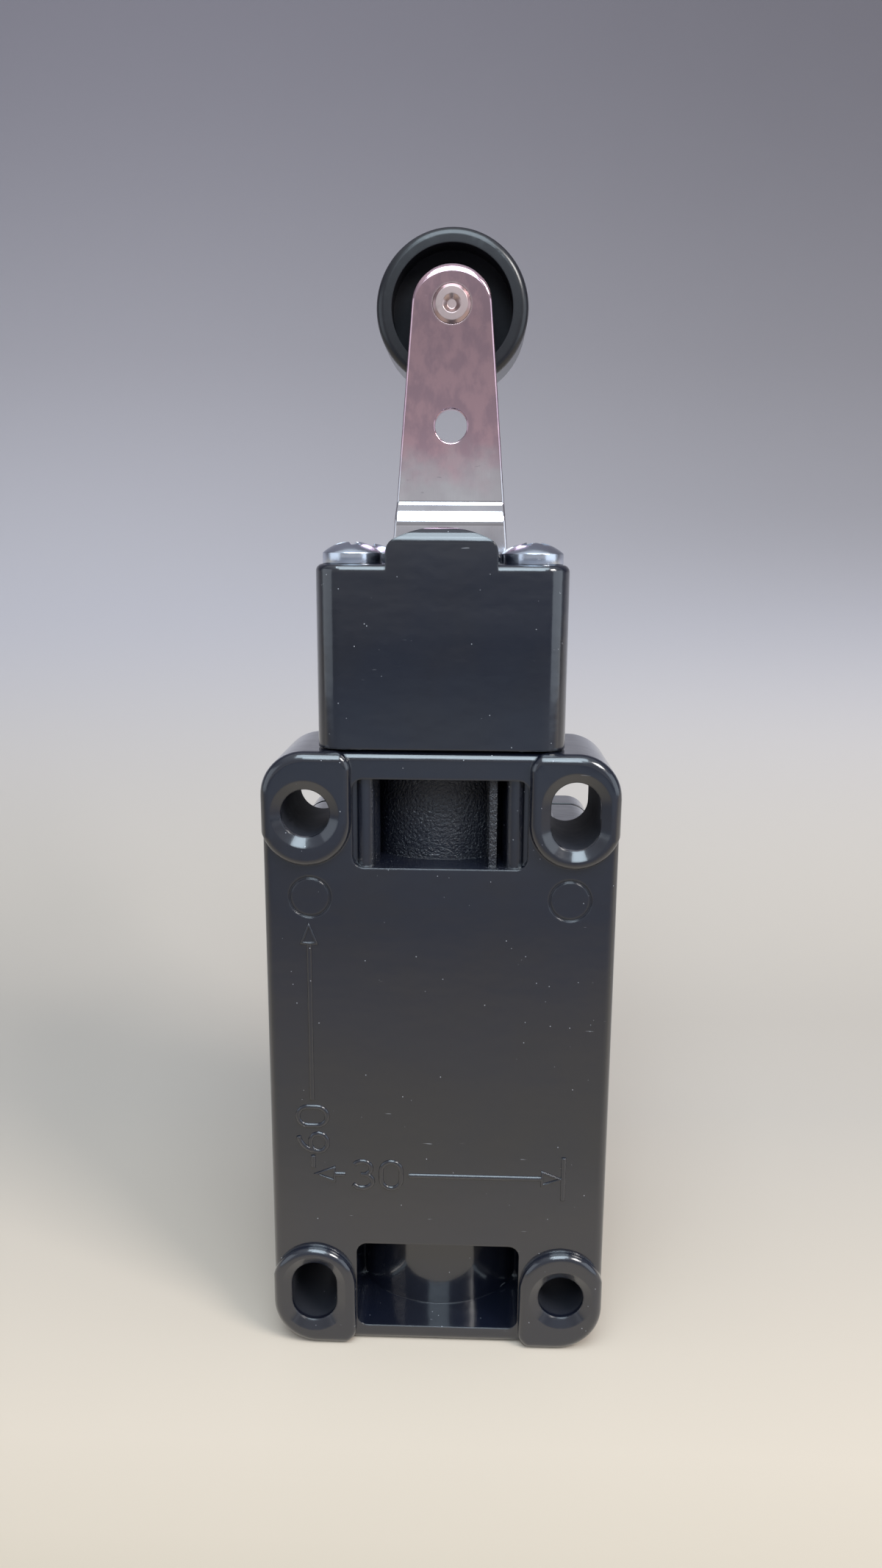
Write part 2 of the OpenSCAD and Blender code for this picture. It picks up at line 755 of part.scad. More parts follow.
module head_housing() color(cast_grey) {
    difference() {
        union() {
            head_block();
            rib();
            bar_y(axis, head_front - end_play, snout_y, snout_d);
            bar_z([0, head_y], head_z - spigot_len, head_z + eps, spigot_d);
        }
        bar_z([0, head_y], head_z - spigot_len - cut, shaft_z + shaft_d / 2 + 2 * end_play, spigot_bore);
        bar_y(axis, shaft_back - end_play, head_y, journal_d + 2 * running);
        bar_y(axis, chamber_back, bush_bore_y + eps, shaft_d + 2 * free_gap);
        bar_y(axis, bush_bore_y, snout_y + cut, bush_d);
        at_head_screws() bar_z([0, 0], head_z - cut, screw_ledge + cut, screw_d + 2 * free_gap);
        difference() {
            bar_z([0, head_y], head_z - cut, body_top + ring_t, ring_out_d + 2 * free_gap);
            bar_z([0, head_y], head_z - 2 * cut, head_z + 2 * ring_t, spigot_d);
        }
    }
}

module head_gasket() color(black_rubber) {
    difference() {
        bar_z([0, head_y], body_top, body_top + ring_t, ring_out_d);
        bar_z([0, head_y], body_top - cut, body_top + ring_t + cut, ring_in_d);
    }
}

module head_screws() color(zinc_blue) {
    shank = screw_ledge - body_top + head_screw_bite;
    at_head_screws() translate([0, 0, screw_ledge]) pan_screw(screw_d, shank, screw_head_d, screw_head_h);
}

module shaft_bush() color(sinter_bronze) {
    ring_y(axis, bush_start, bush_start + bush_len, bush_d - 2 * seated, shaft_d + 2 * running);
}

// Seal with two lips on the shaft.
module shaft_seal() color(black_rubber) {
    inner = shaft_d / 2 + running;
    outer = bush_d / 2 - seated;
    throat = inner + 0.8;
    lip = 0.3 * lip_seal_len;
    translate([0, bush_end, shaft_z]) rotate([-90, 0, 0]) rotate_extrude() {
        polygon([
            [inner, 0], [outer, 0], [outer, lip_seal_len], [inner, lip_seal_len],
            [throat, lip_seal_len - lip], [throat, lip]
        ]);
    }
}

module rotary_shaft() color(bright_steel) {
    spare = 1;
    end_y = hub_y + lever_t + lock_t + nut_h + spare;
    difference() {
        union() {
            bar_y(axis, shaft_back, chamber_back + end_play, journal_d);
            bar_y(axis, chamber_back + end_play, hub_y, shaft_d);
            intersection() {
                bar_y(axis, hub_y - eps, hub_y + lever_t - free_gap / 2, journal_d);
                span([-seat_flats / 2, 0, 0], [seat_flats / 2, 2 * hub_y, 2 * shaft_z]);
            }
            bar_y(axis, hub_y, end_y, nut_thread);
        }
        span([-shaft_d, head_y - flat_half, shaft_z - shaft_d],
             [shaft_d, head_y + flat_half, shaft_z - flat_at]);
        ring_y(axis, clip_y - running, clip_y + clip_t + running, shaft_d + cut, clip_groove_d);
    }
}

// Retaining ring, open at the bottom.
module shaft_clip() color(spring_steel) {
    mouth = shaft_d / 3;
    difference() {
        ring_y(axis, clip_y, clip_y + clip_t, shaft_d + 2 * clip_rim, clip_groove_d + 2 * seated);
        span([-mouth, 0, 0], [mouth, body_d, shaft_z]);
    }
}

module tappet() color(plunger_white) {
    p = [0, head_y];
    bar_z(p, collar_top - eps, tappet_top, tip_d);
    bar_z(p, collar_foot, collar_top, collar_d);
    bar_z(p, stem_end, collar_foot + eps, stem_d);
}

module tappet_spring() color(spring_steel) {
    wire = 0.8;
    r = (stem_d + collar_d) / 4;
    coil([0, head_y], socket_floor + running, collar_foot - running, r, wire, spring_turns);
}

module contact_base() color(block_brown) {
    difference() {
        span([-block_w / 2, block_back, block_foot], [block_w / 2, block_front, block_top]);
        span([-chamber_w / 2, head_y - chamber_d / 2, chamber_foot],
             [chamber_w / 2, block_front + cut, block_top - block_wall]);
        bar_z([0, head_y], bridge_z, block_top + cut, plunger_d + 2 * running);
        for (side = [-1, 1], z = [break_z, make_z - strip_t]) {
            x0 = side > 0 ? 0 : -terminal_in - terminal_w - free_gap;
            span([x0, head_y - strip_half - free_gap / 2, z - free_gap / 2],
                 [x0 + terminal_in + terminal_w + free_gap, block_front + cut, z + strip_t + free_gap / 2]);
        }
        at_terminals() bar_y([0, 0], block_front - thread_deep, block_front + cut, screw_d + 2 * free_gap);
        for (sx = [-1, 1]) {
            p = [sx * base_post_x, base_screw_z];
            bar_y(p, block_back - cut, block_front, base_screw_d + 2 * free_gap);
            bar_y(p, base_screw_step, block_front + cut, base_screw_head_d + 2 * free_gap);
            mirror([sx < 0 ? 1 : 0, 0, 0]) {
                span([base_notch[0], 0, base_notch[1]], [block_w, block_front + cut, block_top + cut]);
            }
        }
    }
}

module contact_lid() color(black_plastic) {
    edge = 0.8;
    lid_t = 1.4;
    span([-chamber_w / 2 - edge, block_front, chamber_foot - 2 * edge],
         [chamber_w / 2 + edge, block_front + lid_t, block_top - block_wall + 2 * edge]);
}

module switch_plunger() color(plunger_white) {
    nose_d = 3;
    nose_len = 2.6;
    difference() {
        span([-frame_x, head_y - frame_y, frame_foot], [frame_x, head_y + frame_y, frame_top]);
        span([-frame_x - cut, head_y - bridge_w / 2 - running, window_foot],
             [frame_x + cut, head_y + bridge_w / 2 + running, bridge_z + bridge_half]);
    }
    bar_z([0, head_y], frame_top - eps, plunger_top, plunger_d);
    bar_z([0, head_y], frame_foot - nose_len, frame_foot + eps, nose_d);
}

module plunger_spring() color(spring_steel) {
    wire = 0.5;
    r = plunger_d / 2;
    coil([0, head_y], chamber_foot + running, frame_foot - running, r, wire, spring_turns);
}

module contact_bridge() color(contact_brass) {
    rise = bridge_half + button_h;
    span([-bridge_reach, head_y - bridge_w / 2, bridge_z - bridge_half],
         [bridge_reach, head_y + bridge_w / 2, bridge_z + bridge_half]);
    for (side = [-1, 1]) {
        bar_z([side * button_x, head_y], bridge_z - rise, bridge_z + rise, button_d);
    }
}

module contact_spring() color(spring_steel) {
    wire = 0.4;
    r = plunger_d / 3;
    coil([0, head_y], window_foot + seated, bridge_z - bridge_half - seated, r, wire, spring_turns);
}

// One pair of fixed contacts: a blade with its button, folded up or down to the terminal.
// z is the face of the blade that carries the button, and dir the side of the terminal.
module fixed_contacts(z, dir) {
    for (side = [-1, 1]) mirror([side < 0 ? 1 : 0, 0, 0]) {
        far = terminal_in + terminal_w;
        foot = dir > 0 ? z : z - strip_t;
        span([strip_in, head_y - strip_half, foot], [terminal_in, block_front - free_gap, foot + strip_t]);
        span([terminal_in - eps, head_y - strip_half, foot], [far, block_front + eps, foot + strip_t]);
        difference() {
            span([terminal_in, block_front, dir > 0 ? z : z - terminal_h],
                 [far, block_front + strip_t, dir > 0 ? z + terminal_h : z]);
            bar_y([terminal_x, z + dir * terminal_h / 2], 0, body_d, screw_d + 2 * seated);
        }
        button_foot = dir > 0 ? z - button_h : z - eps;
        bar_z([button_x, head_y], button_foot, button_foot + button_h + eps, button_d);
    }
}

module break_contacts() color(contact_brass) fixed_contacts(break_z, 1);

module make_contacts() color(contact_brass) fixed_contacts(make_z, -1);

module terminal_clamps() color(zinc_blue) {
    back = block_front + strip_t;
    at_terminals() difference() {
        span([free_gap - terminal_w / 2, back, 2 * free_gap - terminal_h / 2],
             [terminal_w / 2 - free_gap, back + clamp_t, terminal_h / 2 - 2 * free_gap]);
        bar_y([0, 0], back - cut, back + clamp_t + cut, screw_d + 2 * free_gap);
    }
}

module terminal_screws() color(zinc_blue) {
    seat = block_front + strip_t + clamp_t;
    shank = strip_t + clamp_t + thread_deep - end_play;
    at_terminals() pan_screw_y([0, 0], seat, screw_d, shank, terminal_w - free_gap, screw_head_h);
}

module base_screws() color(zinc_blue) {
    shank = base_screw_step - inner_y + base_screw_deep - free_gap;
    for (sx = [-1, 1]) {
        pan_screw_y([sx * base_post_x, base_screw_z], base_screw_step, base_screw_d, shank,
                    base_screw_head_d, base_screw_head_h);
    }
}

module earth_clamp() color(zinc_blue) {
    difference() {
        translate([earth_at[0], 0, earth_at[1]]) along_y(earth_post, earth_post + clamp_t) {
            square(screw_head_d + 2 * free_gap, center = true);
        }
        bar_y(earth_at, earth_post - cut, earth_post + clamp_t + cut, screw_d + 2 * free_gap);
    }
}

module earth_screw() color(zinc_blue) {
    shank = clamp_t + thread_deep - end_play;
    pan_screw_y(earth_at, earth_post + clamp_t, screw_d, shank, screw_head_d, screw_head_h);
}

// Outline of the lever: two round ends and the tangents between them.
module lever_outline() {
    lean = asin((hub_r - tip_r) / lever_len);
    right = [cos(lean), sin(lean)];
    left = [-cos(lean), sin(lean)];
    hub = hub_r - eps;
    tip = tip_r - eps;
    translate(axis) circle(hub_r);
    translate(roller_axis) circle(tip_r);
    polygon([axis + hub * right, roller_axis + tip * right, roller_axis + tip * left, axis + hub * left]);
}

// Points of a bend about a centre, from one angle to another.
bend_steps = 6;
function bend(centre, r, from, to) =
    [for (i = [0:bend_steps]) let (a = from + (to - from) * i / bend_steps) centre + r * [cos(a), sin(a)]];

// Side view of the cranked sheet, in Y and Z.
module lever_profile() {
    drop = 2 * bend_r * (1 - cos(crank_angle));
    slope = (crank - drop) / sin(crank_angle);
    rise = 2 * bend_r * sin(crank_angle) + slope * cos(crank_angle);
    inner = bend_r - lever_t / 2;
    outer = bend_r + lever_t / 2;
    top = shaft_z + crank_end;
    low_centre = [hub_y + lever_t / 2 + bend_r, top - rise];
    high_centre = [arm_y + lever_t / 2 - bend_r, top];
    polygon(concat(
        [[hub_y, shaft_z - 2 * hub_r]],
        bend(low_centre, outer, 180, 180 - crank_angle),
        bend(high_centre, inner, -crank_angle, 0),
        [[arm_y, roller_z + 2 * tip_r], [arm_y + lever_t, roller_z + 2 * tip_r]],
        bend(high_centre, outer, 0, -crank_angle),
        bend(low_centre, inner, 180 - crank_angle, 180),
        [[hub_y + lever_t, shaft_z - 2 * hub_r]]
    ));
}

module lever_arm() color(bright_steel) {
    difference() {
        intersection() {
            along_x(-2 * hub_r, 2 * hub_r) lever_profile();
            along_y(hub_y - cut, arm_y + lever_t + cut) lever_outline();
        }
        along_y(hub_y - cut, hub_y + lever_t + cut) translate(axis) intersection() {
            circle(d = journal_d + 2 * seated);
            square([seat_flats + 2 * seated, 2 * journal_d], center = true);
        }
        bar_y(roller_axis, arm_y - cut, arm_y + lever_t + cut, rivet_d + 2 * seated);
        bar_y([0, shaft_z + arm_hole_at], arm_y - cut, arm_y + lever_t + cut, arm_hole_d);
    }
}

// Lock washer with teeth round its rim.
module lock_washer() color(spring_steel) {
    teeth = 12;
    y0 = hub_y + lever_t;
    rim_d = nut_flats + 1.4;
    notch = [1, 0.9];
    difference() {
        ring_y(axis, y0, y0 + lock_t, rim_d, nut_thread + 2 * free_gap);
        translate([0, 0, shaft_z]) for (i = [0:teeth - 1]) rotate([0, 360 * i / teeth, 0]) {
            span([-notch[0] / 2, y0 - cut, rim_d / 2 - notch[1]], [notch[0] / 2, y0 + lock_t + cut, rim_d]);
        }
    }
}

module lever_nut() color(zinc_blue) {
    y0 = hub_y + lever_t + lock_t;
    corner = nut_flats / cos(30);
    difference() {
        translate([0, y0, shaft_z]) rotate([-90, 0, 0]) intersection() {
            cylinder(d = corner, h = nut_h, $fn = 6);
            cylinder(d1 = corner + nut_h, d2 = nut_flats, h = nut_h);
        }
        bar_y(axis, y0 - cut, y0 + nut_h + cut, nut_thread + 2 * seated);
    }
}

// Rivet with its head in front of the roller and its closed end in the lever.
module roller_pin() color(bright_steel) {
    closed = 0.5;
    slant = 0.8;
    head_t = 1.2;
    head_slant = 1.4;
    dimple = [2.4, 1.2, 0.6];
    shoulder = arm_y + lever_t;
    difference() {
        union() {
            translate([0, arm_y - closed, roller_z]) rotate([-90, 0, 0]) {
                cylinder(d1 = rivet_d - slant, d2 = rivet_d, h = closed);
            }
            bar_y(roller_axis, arm_y - eps, shoulder + eps, rivet_d);
            bar_y(roller_axis, shoulder, roller_front + free_gap, pin_d);
            translate([0, roller_front + free_gap, roller_z]) rotate([-90, 0, 0]) {
                cylinder(d1 = pin_head_d, d2 = pin_head_d - head_slant, h = head_t);
            }
        }
        translate([0, arm_y - closed - eps, roller_z]) rotate([-90, 0, 0]) {
            cylinder(d1 = dimple[0], d2 = dimple[1], h = dimple[2]);
        }
    }
}

module roller_washer() color(spring_steel) {
    ring_y(roller_axis, arm_y + lever_t, arm_y + lever_t + washer_t, tip_r * 2, pin_d + 2 * running);
}

// Roller with round edges and a deep ring recess in each face.
module roller() color(black_plastic) {
    half = roller_w / 2;
    rim = roller_d / 2;
    e = roller_edge;
    bore = pin_d / 2 + running;
    hub_edge = 0.6;
    hub = pin_head_d / 2 + hub_edge;
    dish = dish_d / 2;
    translate([0, roller_back + half, roller_z]) rotate([-90, 0, 0]) rotate_extrude() difference() {
        union() {
            translate([bore, -half]) square([rim - e - bore, roller_w]);
            translate([bore, e - half]) square([rim - bore, roller_w - 2 * e]);
            for (end = [-1, 1]) translate([rim - e, end * (half - e)]) circle(e);
        }
        for (end = [-1, 1]) translate([hub, end > 0 ? half - dish_depth : -half - cut]) {
            square([dish - hub, dish_depth + cut]);
        }
    }
}

housing();
front_cover();
cover_gasket();
cover_screws();
head_housing();
head_gasket();
head_screws();
shaft_bush();
shaft_seal();
rotary_shaft();
shaft_clip();
tappet();
tappet_spring();
contact_base();
contact_lid();
switch_plunger();
plunger_spring();
contact_bridge();
contact_spring();
break_contacts();
make_contacts();
terminal_clamps();
terminal_screws();
base_screws();
earth_clamp();
earth_screw();
lever_arm();
lock_washer();
lever_nut();
roller_pin();
roller_washer();
roller();
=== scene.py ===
"""Looks of a roller lever limit switch: castings, cranked lever, roller, fasteners and contact block."""

import json
import logging
import math
from collections.abc import Iterable, Mapping, Sequence
from dataclasses import dataclass
from enum import Enum
from typing import Any

import bmesh
import bpy
from mathutils import Matrix, Vector

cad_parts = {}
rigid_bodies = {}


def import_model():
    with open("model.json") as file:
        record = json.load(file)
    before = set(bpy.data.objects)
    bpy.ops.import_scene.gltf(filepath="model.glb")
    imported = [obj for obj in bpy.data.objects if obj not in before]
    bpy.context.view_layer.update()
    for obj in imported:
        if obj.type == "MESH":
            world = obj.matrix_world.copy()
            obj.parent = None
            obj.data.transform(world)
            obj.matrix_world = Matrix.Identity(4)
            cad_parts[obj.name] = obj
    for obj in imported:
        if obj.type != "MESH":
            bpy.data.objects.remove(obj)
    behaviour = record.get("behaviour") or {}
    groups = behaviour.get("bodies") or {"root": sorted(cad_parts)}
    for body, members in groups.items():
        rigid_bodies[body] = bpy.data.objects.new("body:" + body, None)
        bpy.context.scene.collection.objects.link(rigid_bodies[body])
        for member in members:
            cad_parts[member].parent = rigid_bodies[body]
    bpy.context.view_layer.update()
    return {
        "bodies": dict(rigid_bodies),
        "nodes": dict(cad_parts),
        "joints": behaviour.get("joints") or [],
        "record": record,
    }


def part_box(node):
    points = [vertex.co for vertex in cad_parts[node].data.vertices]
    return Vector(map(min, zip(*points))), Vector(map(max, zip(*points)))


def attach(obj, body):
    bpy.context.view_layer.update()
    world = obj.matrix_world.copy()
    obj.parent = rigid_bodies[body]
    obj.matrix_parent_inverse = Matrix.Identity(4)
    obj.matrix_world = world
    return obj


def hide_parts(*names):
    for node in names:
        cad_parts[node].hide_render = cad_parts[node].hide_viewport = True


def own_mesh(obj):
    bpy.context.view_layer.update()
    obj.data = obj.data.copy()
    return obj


LOG = logging.getLogger("limit_switch")
MM = 0.001
MERGE_DISTANCE = 0.002 * MM
# Angle in degrees up to which two faces count as one plane
FLAT_ANGLE = 0.5
# Angles in degrees from which an edge is rounded, and from which it stays crisp
SHARP_ANGLE = 30.0
CREASE_ANGLE = 25.0
# Rays that the finishes use to soften an edge
EDGE_SAMPLES = 6
# Height of the roller's axis in millimetres
ROLLER_Z = 90.4

Triple = tuple[float, float, float]
Colour = Triple
Point = tuple[float, float]
Span = tuple[float, float]
Stroke = list[Point]
Stops = tuple[tuple[float, Colour], ...]
Settings = Mapping[str, Any]
Inputs = Mapping[str | int, Any]

BLACK: Colour = (0.0, 0.0, 0.0)
COOL_LIGHT: Colour = (0.74, 0.89, 1.0)
SIDE_LIGHT: Colour = (0.80, 0.90, 1.0)
WARM_LIGHT: Colour = (1.0, 0.97, 0.94)


class Slot(Enum):
    """Material slots of the record."""

    CAST_COATING = "cast_coating"
    BLACK_RUBBER = "black_rubber"
    ZINC_PLATE = "zinc_plate"
    LEVER_STEEL = "lever_steel"
    SPRING_STEEL = "spring_steel"
    SINTER_BRONZE = "sinter_bronze"
    ROLLER_PLASTIC = "roller_plastic"
    BLOCK_PLASTIC = "block_plastic"
    LID_PLASTIC = "lid_plastic"
    PALE_PLASTIC = "pale_plastic"
    CONTACT_BRASS = "contact_brass"


class Axis(Enum):
    """Direction in which the heads of a set of screws point."""

    UP = "up"
    FORWARD = "forward"


class Socket:
    """A node's output that takes part in arithmetic; each operation adds a Math node."""

    def __init__(self, graph: "Graph", output: bpy.types.NodeSocket | None) -> None:
        """Keeps the output, if the node has one, and the graph that it belongs to."""
        self.graph = graph
        self.output = output

    def _math(self, operation: str, first: "Operand", second: "Operand" = 0.0) -> "Socket":
        """Returns the result of one Math node."""
        return self.graph.node("ShaderNodeMath", {"operation": operation}, {0: first, 1: second})

    def __add__(self, other: "Operand") -> "Socket":
        """Sum."""
        return self._math("ADD", self, other)

    def __radd__(self, other: "Operand") -> "Socket":
        """Sum with a number on the left."""
        return self._math("ADD", other, self)

    def __sub__(self, other: "Operand") -> "Socket":
        """Difference."""
        return self._math("SUBTRACT", self, other)

    def __rsub__(self, other: "Operand") -> "Socket":
        """Difference with a number on the left."""
        return self._math("SUBTRACT", other, self)

    def __mul__(self, other: "Operand") -> "Socket":
        """Product."""
        return self._math("MULTIPLY", self, other)

    def __rmul__(self, other: "Operand") -> "Socket":
        """Product with a number on the left."""
        return self._math("MULTIPLY", other, self)

    def absolute(self) -> "Socket":
        """Value without its sign."""
        return self._math("ABSOLUTE", self)

    def rise(self, low: float, high: float) -> "Socket":
        """Returns 0 below a low value and 1 above a high one, with a smooth step between."""
        return self.graph.node("ShaderNodeMapRange", {"interpolation_type": "SMOOTHSTEP"},
                               {"Value": self, "From Min": low, "From Max": high})


Operand = Socket | float


class Graph:
    """Node tree of a material or a world."""

    def __init__(self, tree: bpy.types.NodeTree) -> None:
        """Takes a tree and empties it."""
        self.tree = tree
        self.tree.nodes.clear()

    def node(self, kind: str, settings: Settings | None = None, inputs: Inputs | None = None,
             output: str | int = 0) -> Socket:
        """Adds a node.

        Args:
            kind: Type of the node.
            settings: Properties of the node, set first; "stops" are the places and colours of a ramp.
            inputs: Values or sockets for its inputs, by name or number.
            output: Name or number of the output to return.

        Returns:
            The chosen output, which is empty on a node that ends the tree.
        """
        made = self.tree.nodes.new(kind)
        for key, value in (settings or {}).items():
            if key == "stops":
                self._set_stops(made.color_ramp, value)
            else:
                setattr(made, key, value)
        for key, value in (inputs or {}).items():
            self._feed(made.inputs[key], value)
        return Socket(self, made.outputs[output] if made.outputs else None)

    @staticmethod
    def _set_stops(ramp: bpy.types.ColorRamp, stops: Stops) -> None:
        """Gives a ramp its stops.

        Args:
            ramp: Ramp with no more stops than it is to have.
            stops: Place and colour of each stop.
        """
        while len(ramp.elements) < len(stops):
            ramp.elements.new(1.0)
        for element, (place, colour) in zip(ramp.elements, stops):
            element.position = place
            element.color = (*colour, 1.0)

    def _feed(self, target: bpy.types.NodeSocket, value: Any) -> None:
        """Links a socket to an input, or sets the input's value.

        Args:
            target: Input of a node.
            value: Socket, number, colour, vector or material.
        """
        if isinstance(value, Socket):
            self.tree.links.new(value.output, target)
        elif target.type == "RGBA":
            target.default_value = (*value[:3], 1.0)
        else:
            target.default_value = value

    def mix(self, factor: Operand, first: Any, second: Any) -> Socket:
        """Returns a colour between two colours; the node's colours have the numbers 6, 7 and 2."""
        return self.node("ShaderNodeMix", {"data_type": "RGBA"}, {0: factor, 6: first, 7: second}, 2)

    def ramp(self, stops: Stops, place: Operand) -> Socket:
        """Returns the colour at a place of a ramp, from 0 to 1."""
        return self.node("ShaderNodeValToRGB", {"stops": stops}, {"Fac": place}, "Color")

    def place(self) -> Socket:
        """Returns the point on the piece in millimetres."""
        point = self.node("ShaderNodeTexCoord", output="Object")
        return self.node("ShaderNodeVectorMath", {"operation": "SCALE"}, {0: point, "Scale": 1.0 / MM})

    def stretched(self, point: Socket, scale: Triple, turn: Triple) -> Socket:
        """Returns the point scaled by a factor along each axis and then turned, in radians."""
        return self.node("ShaderNodeMapping", None, {"Vector": point, "Scale": scale, "Rotation": turn})

    def noise(self, point: Socket, scale: float, detail: float, rough: float) -> Socket:
        """Returns a soft random value from about 0.3 to 0.7, with scale features to a millimetre."""
        return self.node("ShaderNodeTexNoise", None,
                         {"Vector": point, "Scale": scale, "Detail": detail, "Roughness": rough}, "Fac")

    def cells(self, point: Socket, scale: float) -> Socket:
        """Returns the distance to the nearest of many scattered points."""
        return self.node("ShaderNodeTexVoronoi", {"feature": "F1"}, {"Vector": point, "Scale": scale},
                         "Distance")

    def axes(self, point: Socket) -> list[Socket]:
        """Returns the three coordinates of a point."""
        split = self.node("ShaderNodeSeparateXYZ", None, {0: point})
        return [Socket(self, output) for output in split.output.node.outputs]

    def reach(self, point: Socket, centre: Point) -> Socket:
        """Returns the distance in millimetres from a line along Y through an x and a z."""
        flat = self.node("ShaderNodeVectorMath", {"operation": "MULTIPLY_ADD"},
                         {0: point, 1: (1.0, 0.0, 1.0), 2: (-centre[0], 0.0, -centre[1])})
        return self.node("ShaderNodeVectorMath", {"operation": "LENGTH"}, {0: flat}, "Value")

    def relief(self, height: Socket, depth: float, edge: float) -> Socket:
        """Returns a normal with a fine relief on softened edges.

        Args:
            height: Height of the relief, from 0 to 1.
            depth: Depth that a height of 1 stands for, in millimetres.
            edge: Radius of the softened edges, in millimetres.

        Returns:
            The normal.
        """
        soft = self.node("ShaderNodeBevel", {"samples": EDGE_SAMPLES}, {"Radius": edge * MM})
        return self.node("ShaderNodeBump", None, {"Height": height, "Distance": depth * MM, "Normal": soft})


class GeometryTree(Graph):
    """Geometry Nodes tree with named inputs, one of them its material."""

    KINDS = {
        float: "NodeSocketFloat",
        int: "NodeSocketInt",
        Vector: "NodeSocketVector",
        type(None): "NodeSocketMaterial",
    }

    def __init__(self, name: str, inputs: Mapping[str, Any]) -> None:
        """Makes the tree and its inputs.

        Args:
            name: Name of the tree.
            inputs: Name and default of each input; None stands for a material.
        """
        super().__init__(bpy.data.node_groups.new(name, "GeometryNodeTree"))
        face = self.tree.interface
        face.new_socket("Geometry", in_out="INPUT", socket_type="NodeSocketGeometry")
        for label, default in inputs.items():
            made = face.new_socket(label, in_out="INPUT", socket_type=self.KINDS[type(default)])
            if default is not None:
                made.default_value = default
        face.new_socket("Geometry", in_out="OUTPUT", socket_type="NodeSocketGeometry")
        self.inputs = self.tree.nodes.new("NodeGroupInput")

    def given(self, label: str) -> Socket:
        """Returns an input of the tree."""
        return Socket(self, self.inputs.outputs[label])

    def finish(self, result: Socket) -> "GeometryTree":
        """Ends the tree with real geometry in the given material.

        Args:
            result: Output with the geometry.

        Returns:
            The tree itself.
        """
        real = self.node("GeometryNodeRealizeInstances", None, {"Geometry": result})
        faced = self.node("GeometryNodeSetMaterial", None,
                          {"Geometry": real, "Material": self.given("Surface")})
        self.node("NodeGroupOutput", None, {"Geometry": faced})
        return self

    def run(self, work: bmesh.types.BMesh, values: Mapping[str, Any]) -> bmesh.types.BMesh:
        """Runs the tree on a mesh.

        Args:
            work: Mesh that the tree starts from, freed afterwards.
            values: Values of the tree's inputs, by name.

        Returns:
            The result as a new mesh.
        """
        mesh = bpy.data.meshes.new(f"{self.tree.name}_source")
        work.to_mesh(mesh)
        work.free()
        carrier = bpy.data.objects.new(mesh.name, mesh)
        bpy.context.scene.collection.objects.link(carrier)
        modifier = carrier.modifiers.new("tree", "NODES")
        modifier.node_group = self.tree
        for item in self.tree.interface.items_tree:
            if item.in_out == "INPUT" and item.name in values:
                modifier[item.identifier] = values[item.name]
        depsgraph = bpy.context.evaluated_depsgraph_get()
        plain = bpy.data.meshes.new_from_object(carrier.evaluated_get(depsgraph), depsgraph=depsgraph)
        carrier.modifiers.remove(modifier)
        bpy.data.objects.remove(carrier)
        result = bmesh.new()
        result.from_mesh(plain)
        return result


@dataclass(frozen=True)
class Mottle:
    """A random pattern over a surface, as soft values or as patches.

    The scale is in features to a millimetre. The patches start where the value passes the first limit, and
    are full from the second.
    """

    scale: float
    detail: float = 2.0
    rough: float = 0.5
    limits: Span = (0.0, 1.0)
    stretch: Triple | None = None
    turn: Triple = (0.0, 0.0, 0.0)

    def value(self, graph: Graph, point: Socket) -> Socket:
        """Returns the soft values."""
        laid = graph.stretched(point, self.stretch, self.turn) if self.stretch else point
        return graph.noise(laid, self.scale, self.detail, self.rough)

    def patches(self, graph: Graph, point: Socket) -> Socket:
        """Returns the patches, from 0 to 1."""
        return self.value(graph, point).rise(*self.limits)


@dataclass(frozen=True)
class Finish:
    """A surface finish with its name; each kind lays its own nodes. Lengths are in millimetres."""

    name: str

    def material(self) -> bpy.types.Material:
        """Builds the finish.

        Returns:
            The material.
        """
        made = bpy.data.materials.new(self.name)
        made.use_nodes = True
        graph = Graph(made.node_tree)
        shader = graph.node("ShaderNodeBsdfPrincipled", None, self.surface(graph, graph.place()))
        graph.node("ShaderNodeOutputMaterial", None, {"Surface": shader})
        return made

    def surface(self, graph: Graph, point: Socket) -> dict[str, Any]:
        """Lays the nodes of the finish.

        Args:
            graph: Graph of the material.
            point: Point on the piece in millimetres.

        Returns:
            What feeds the shader's sockets, by name.
        """
        raise NotImplementedError


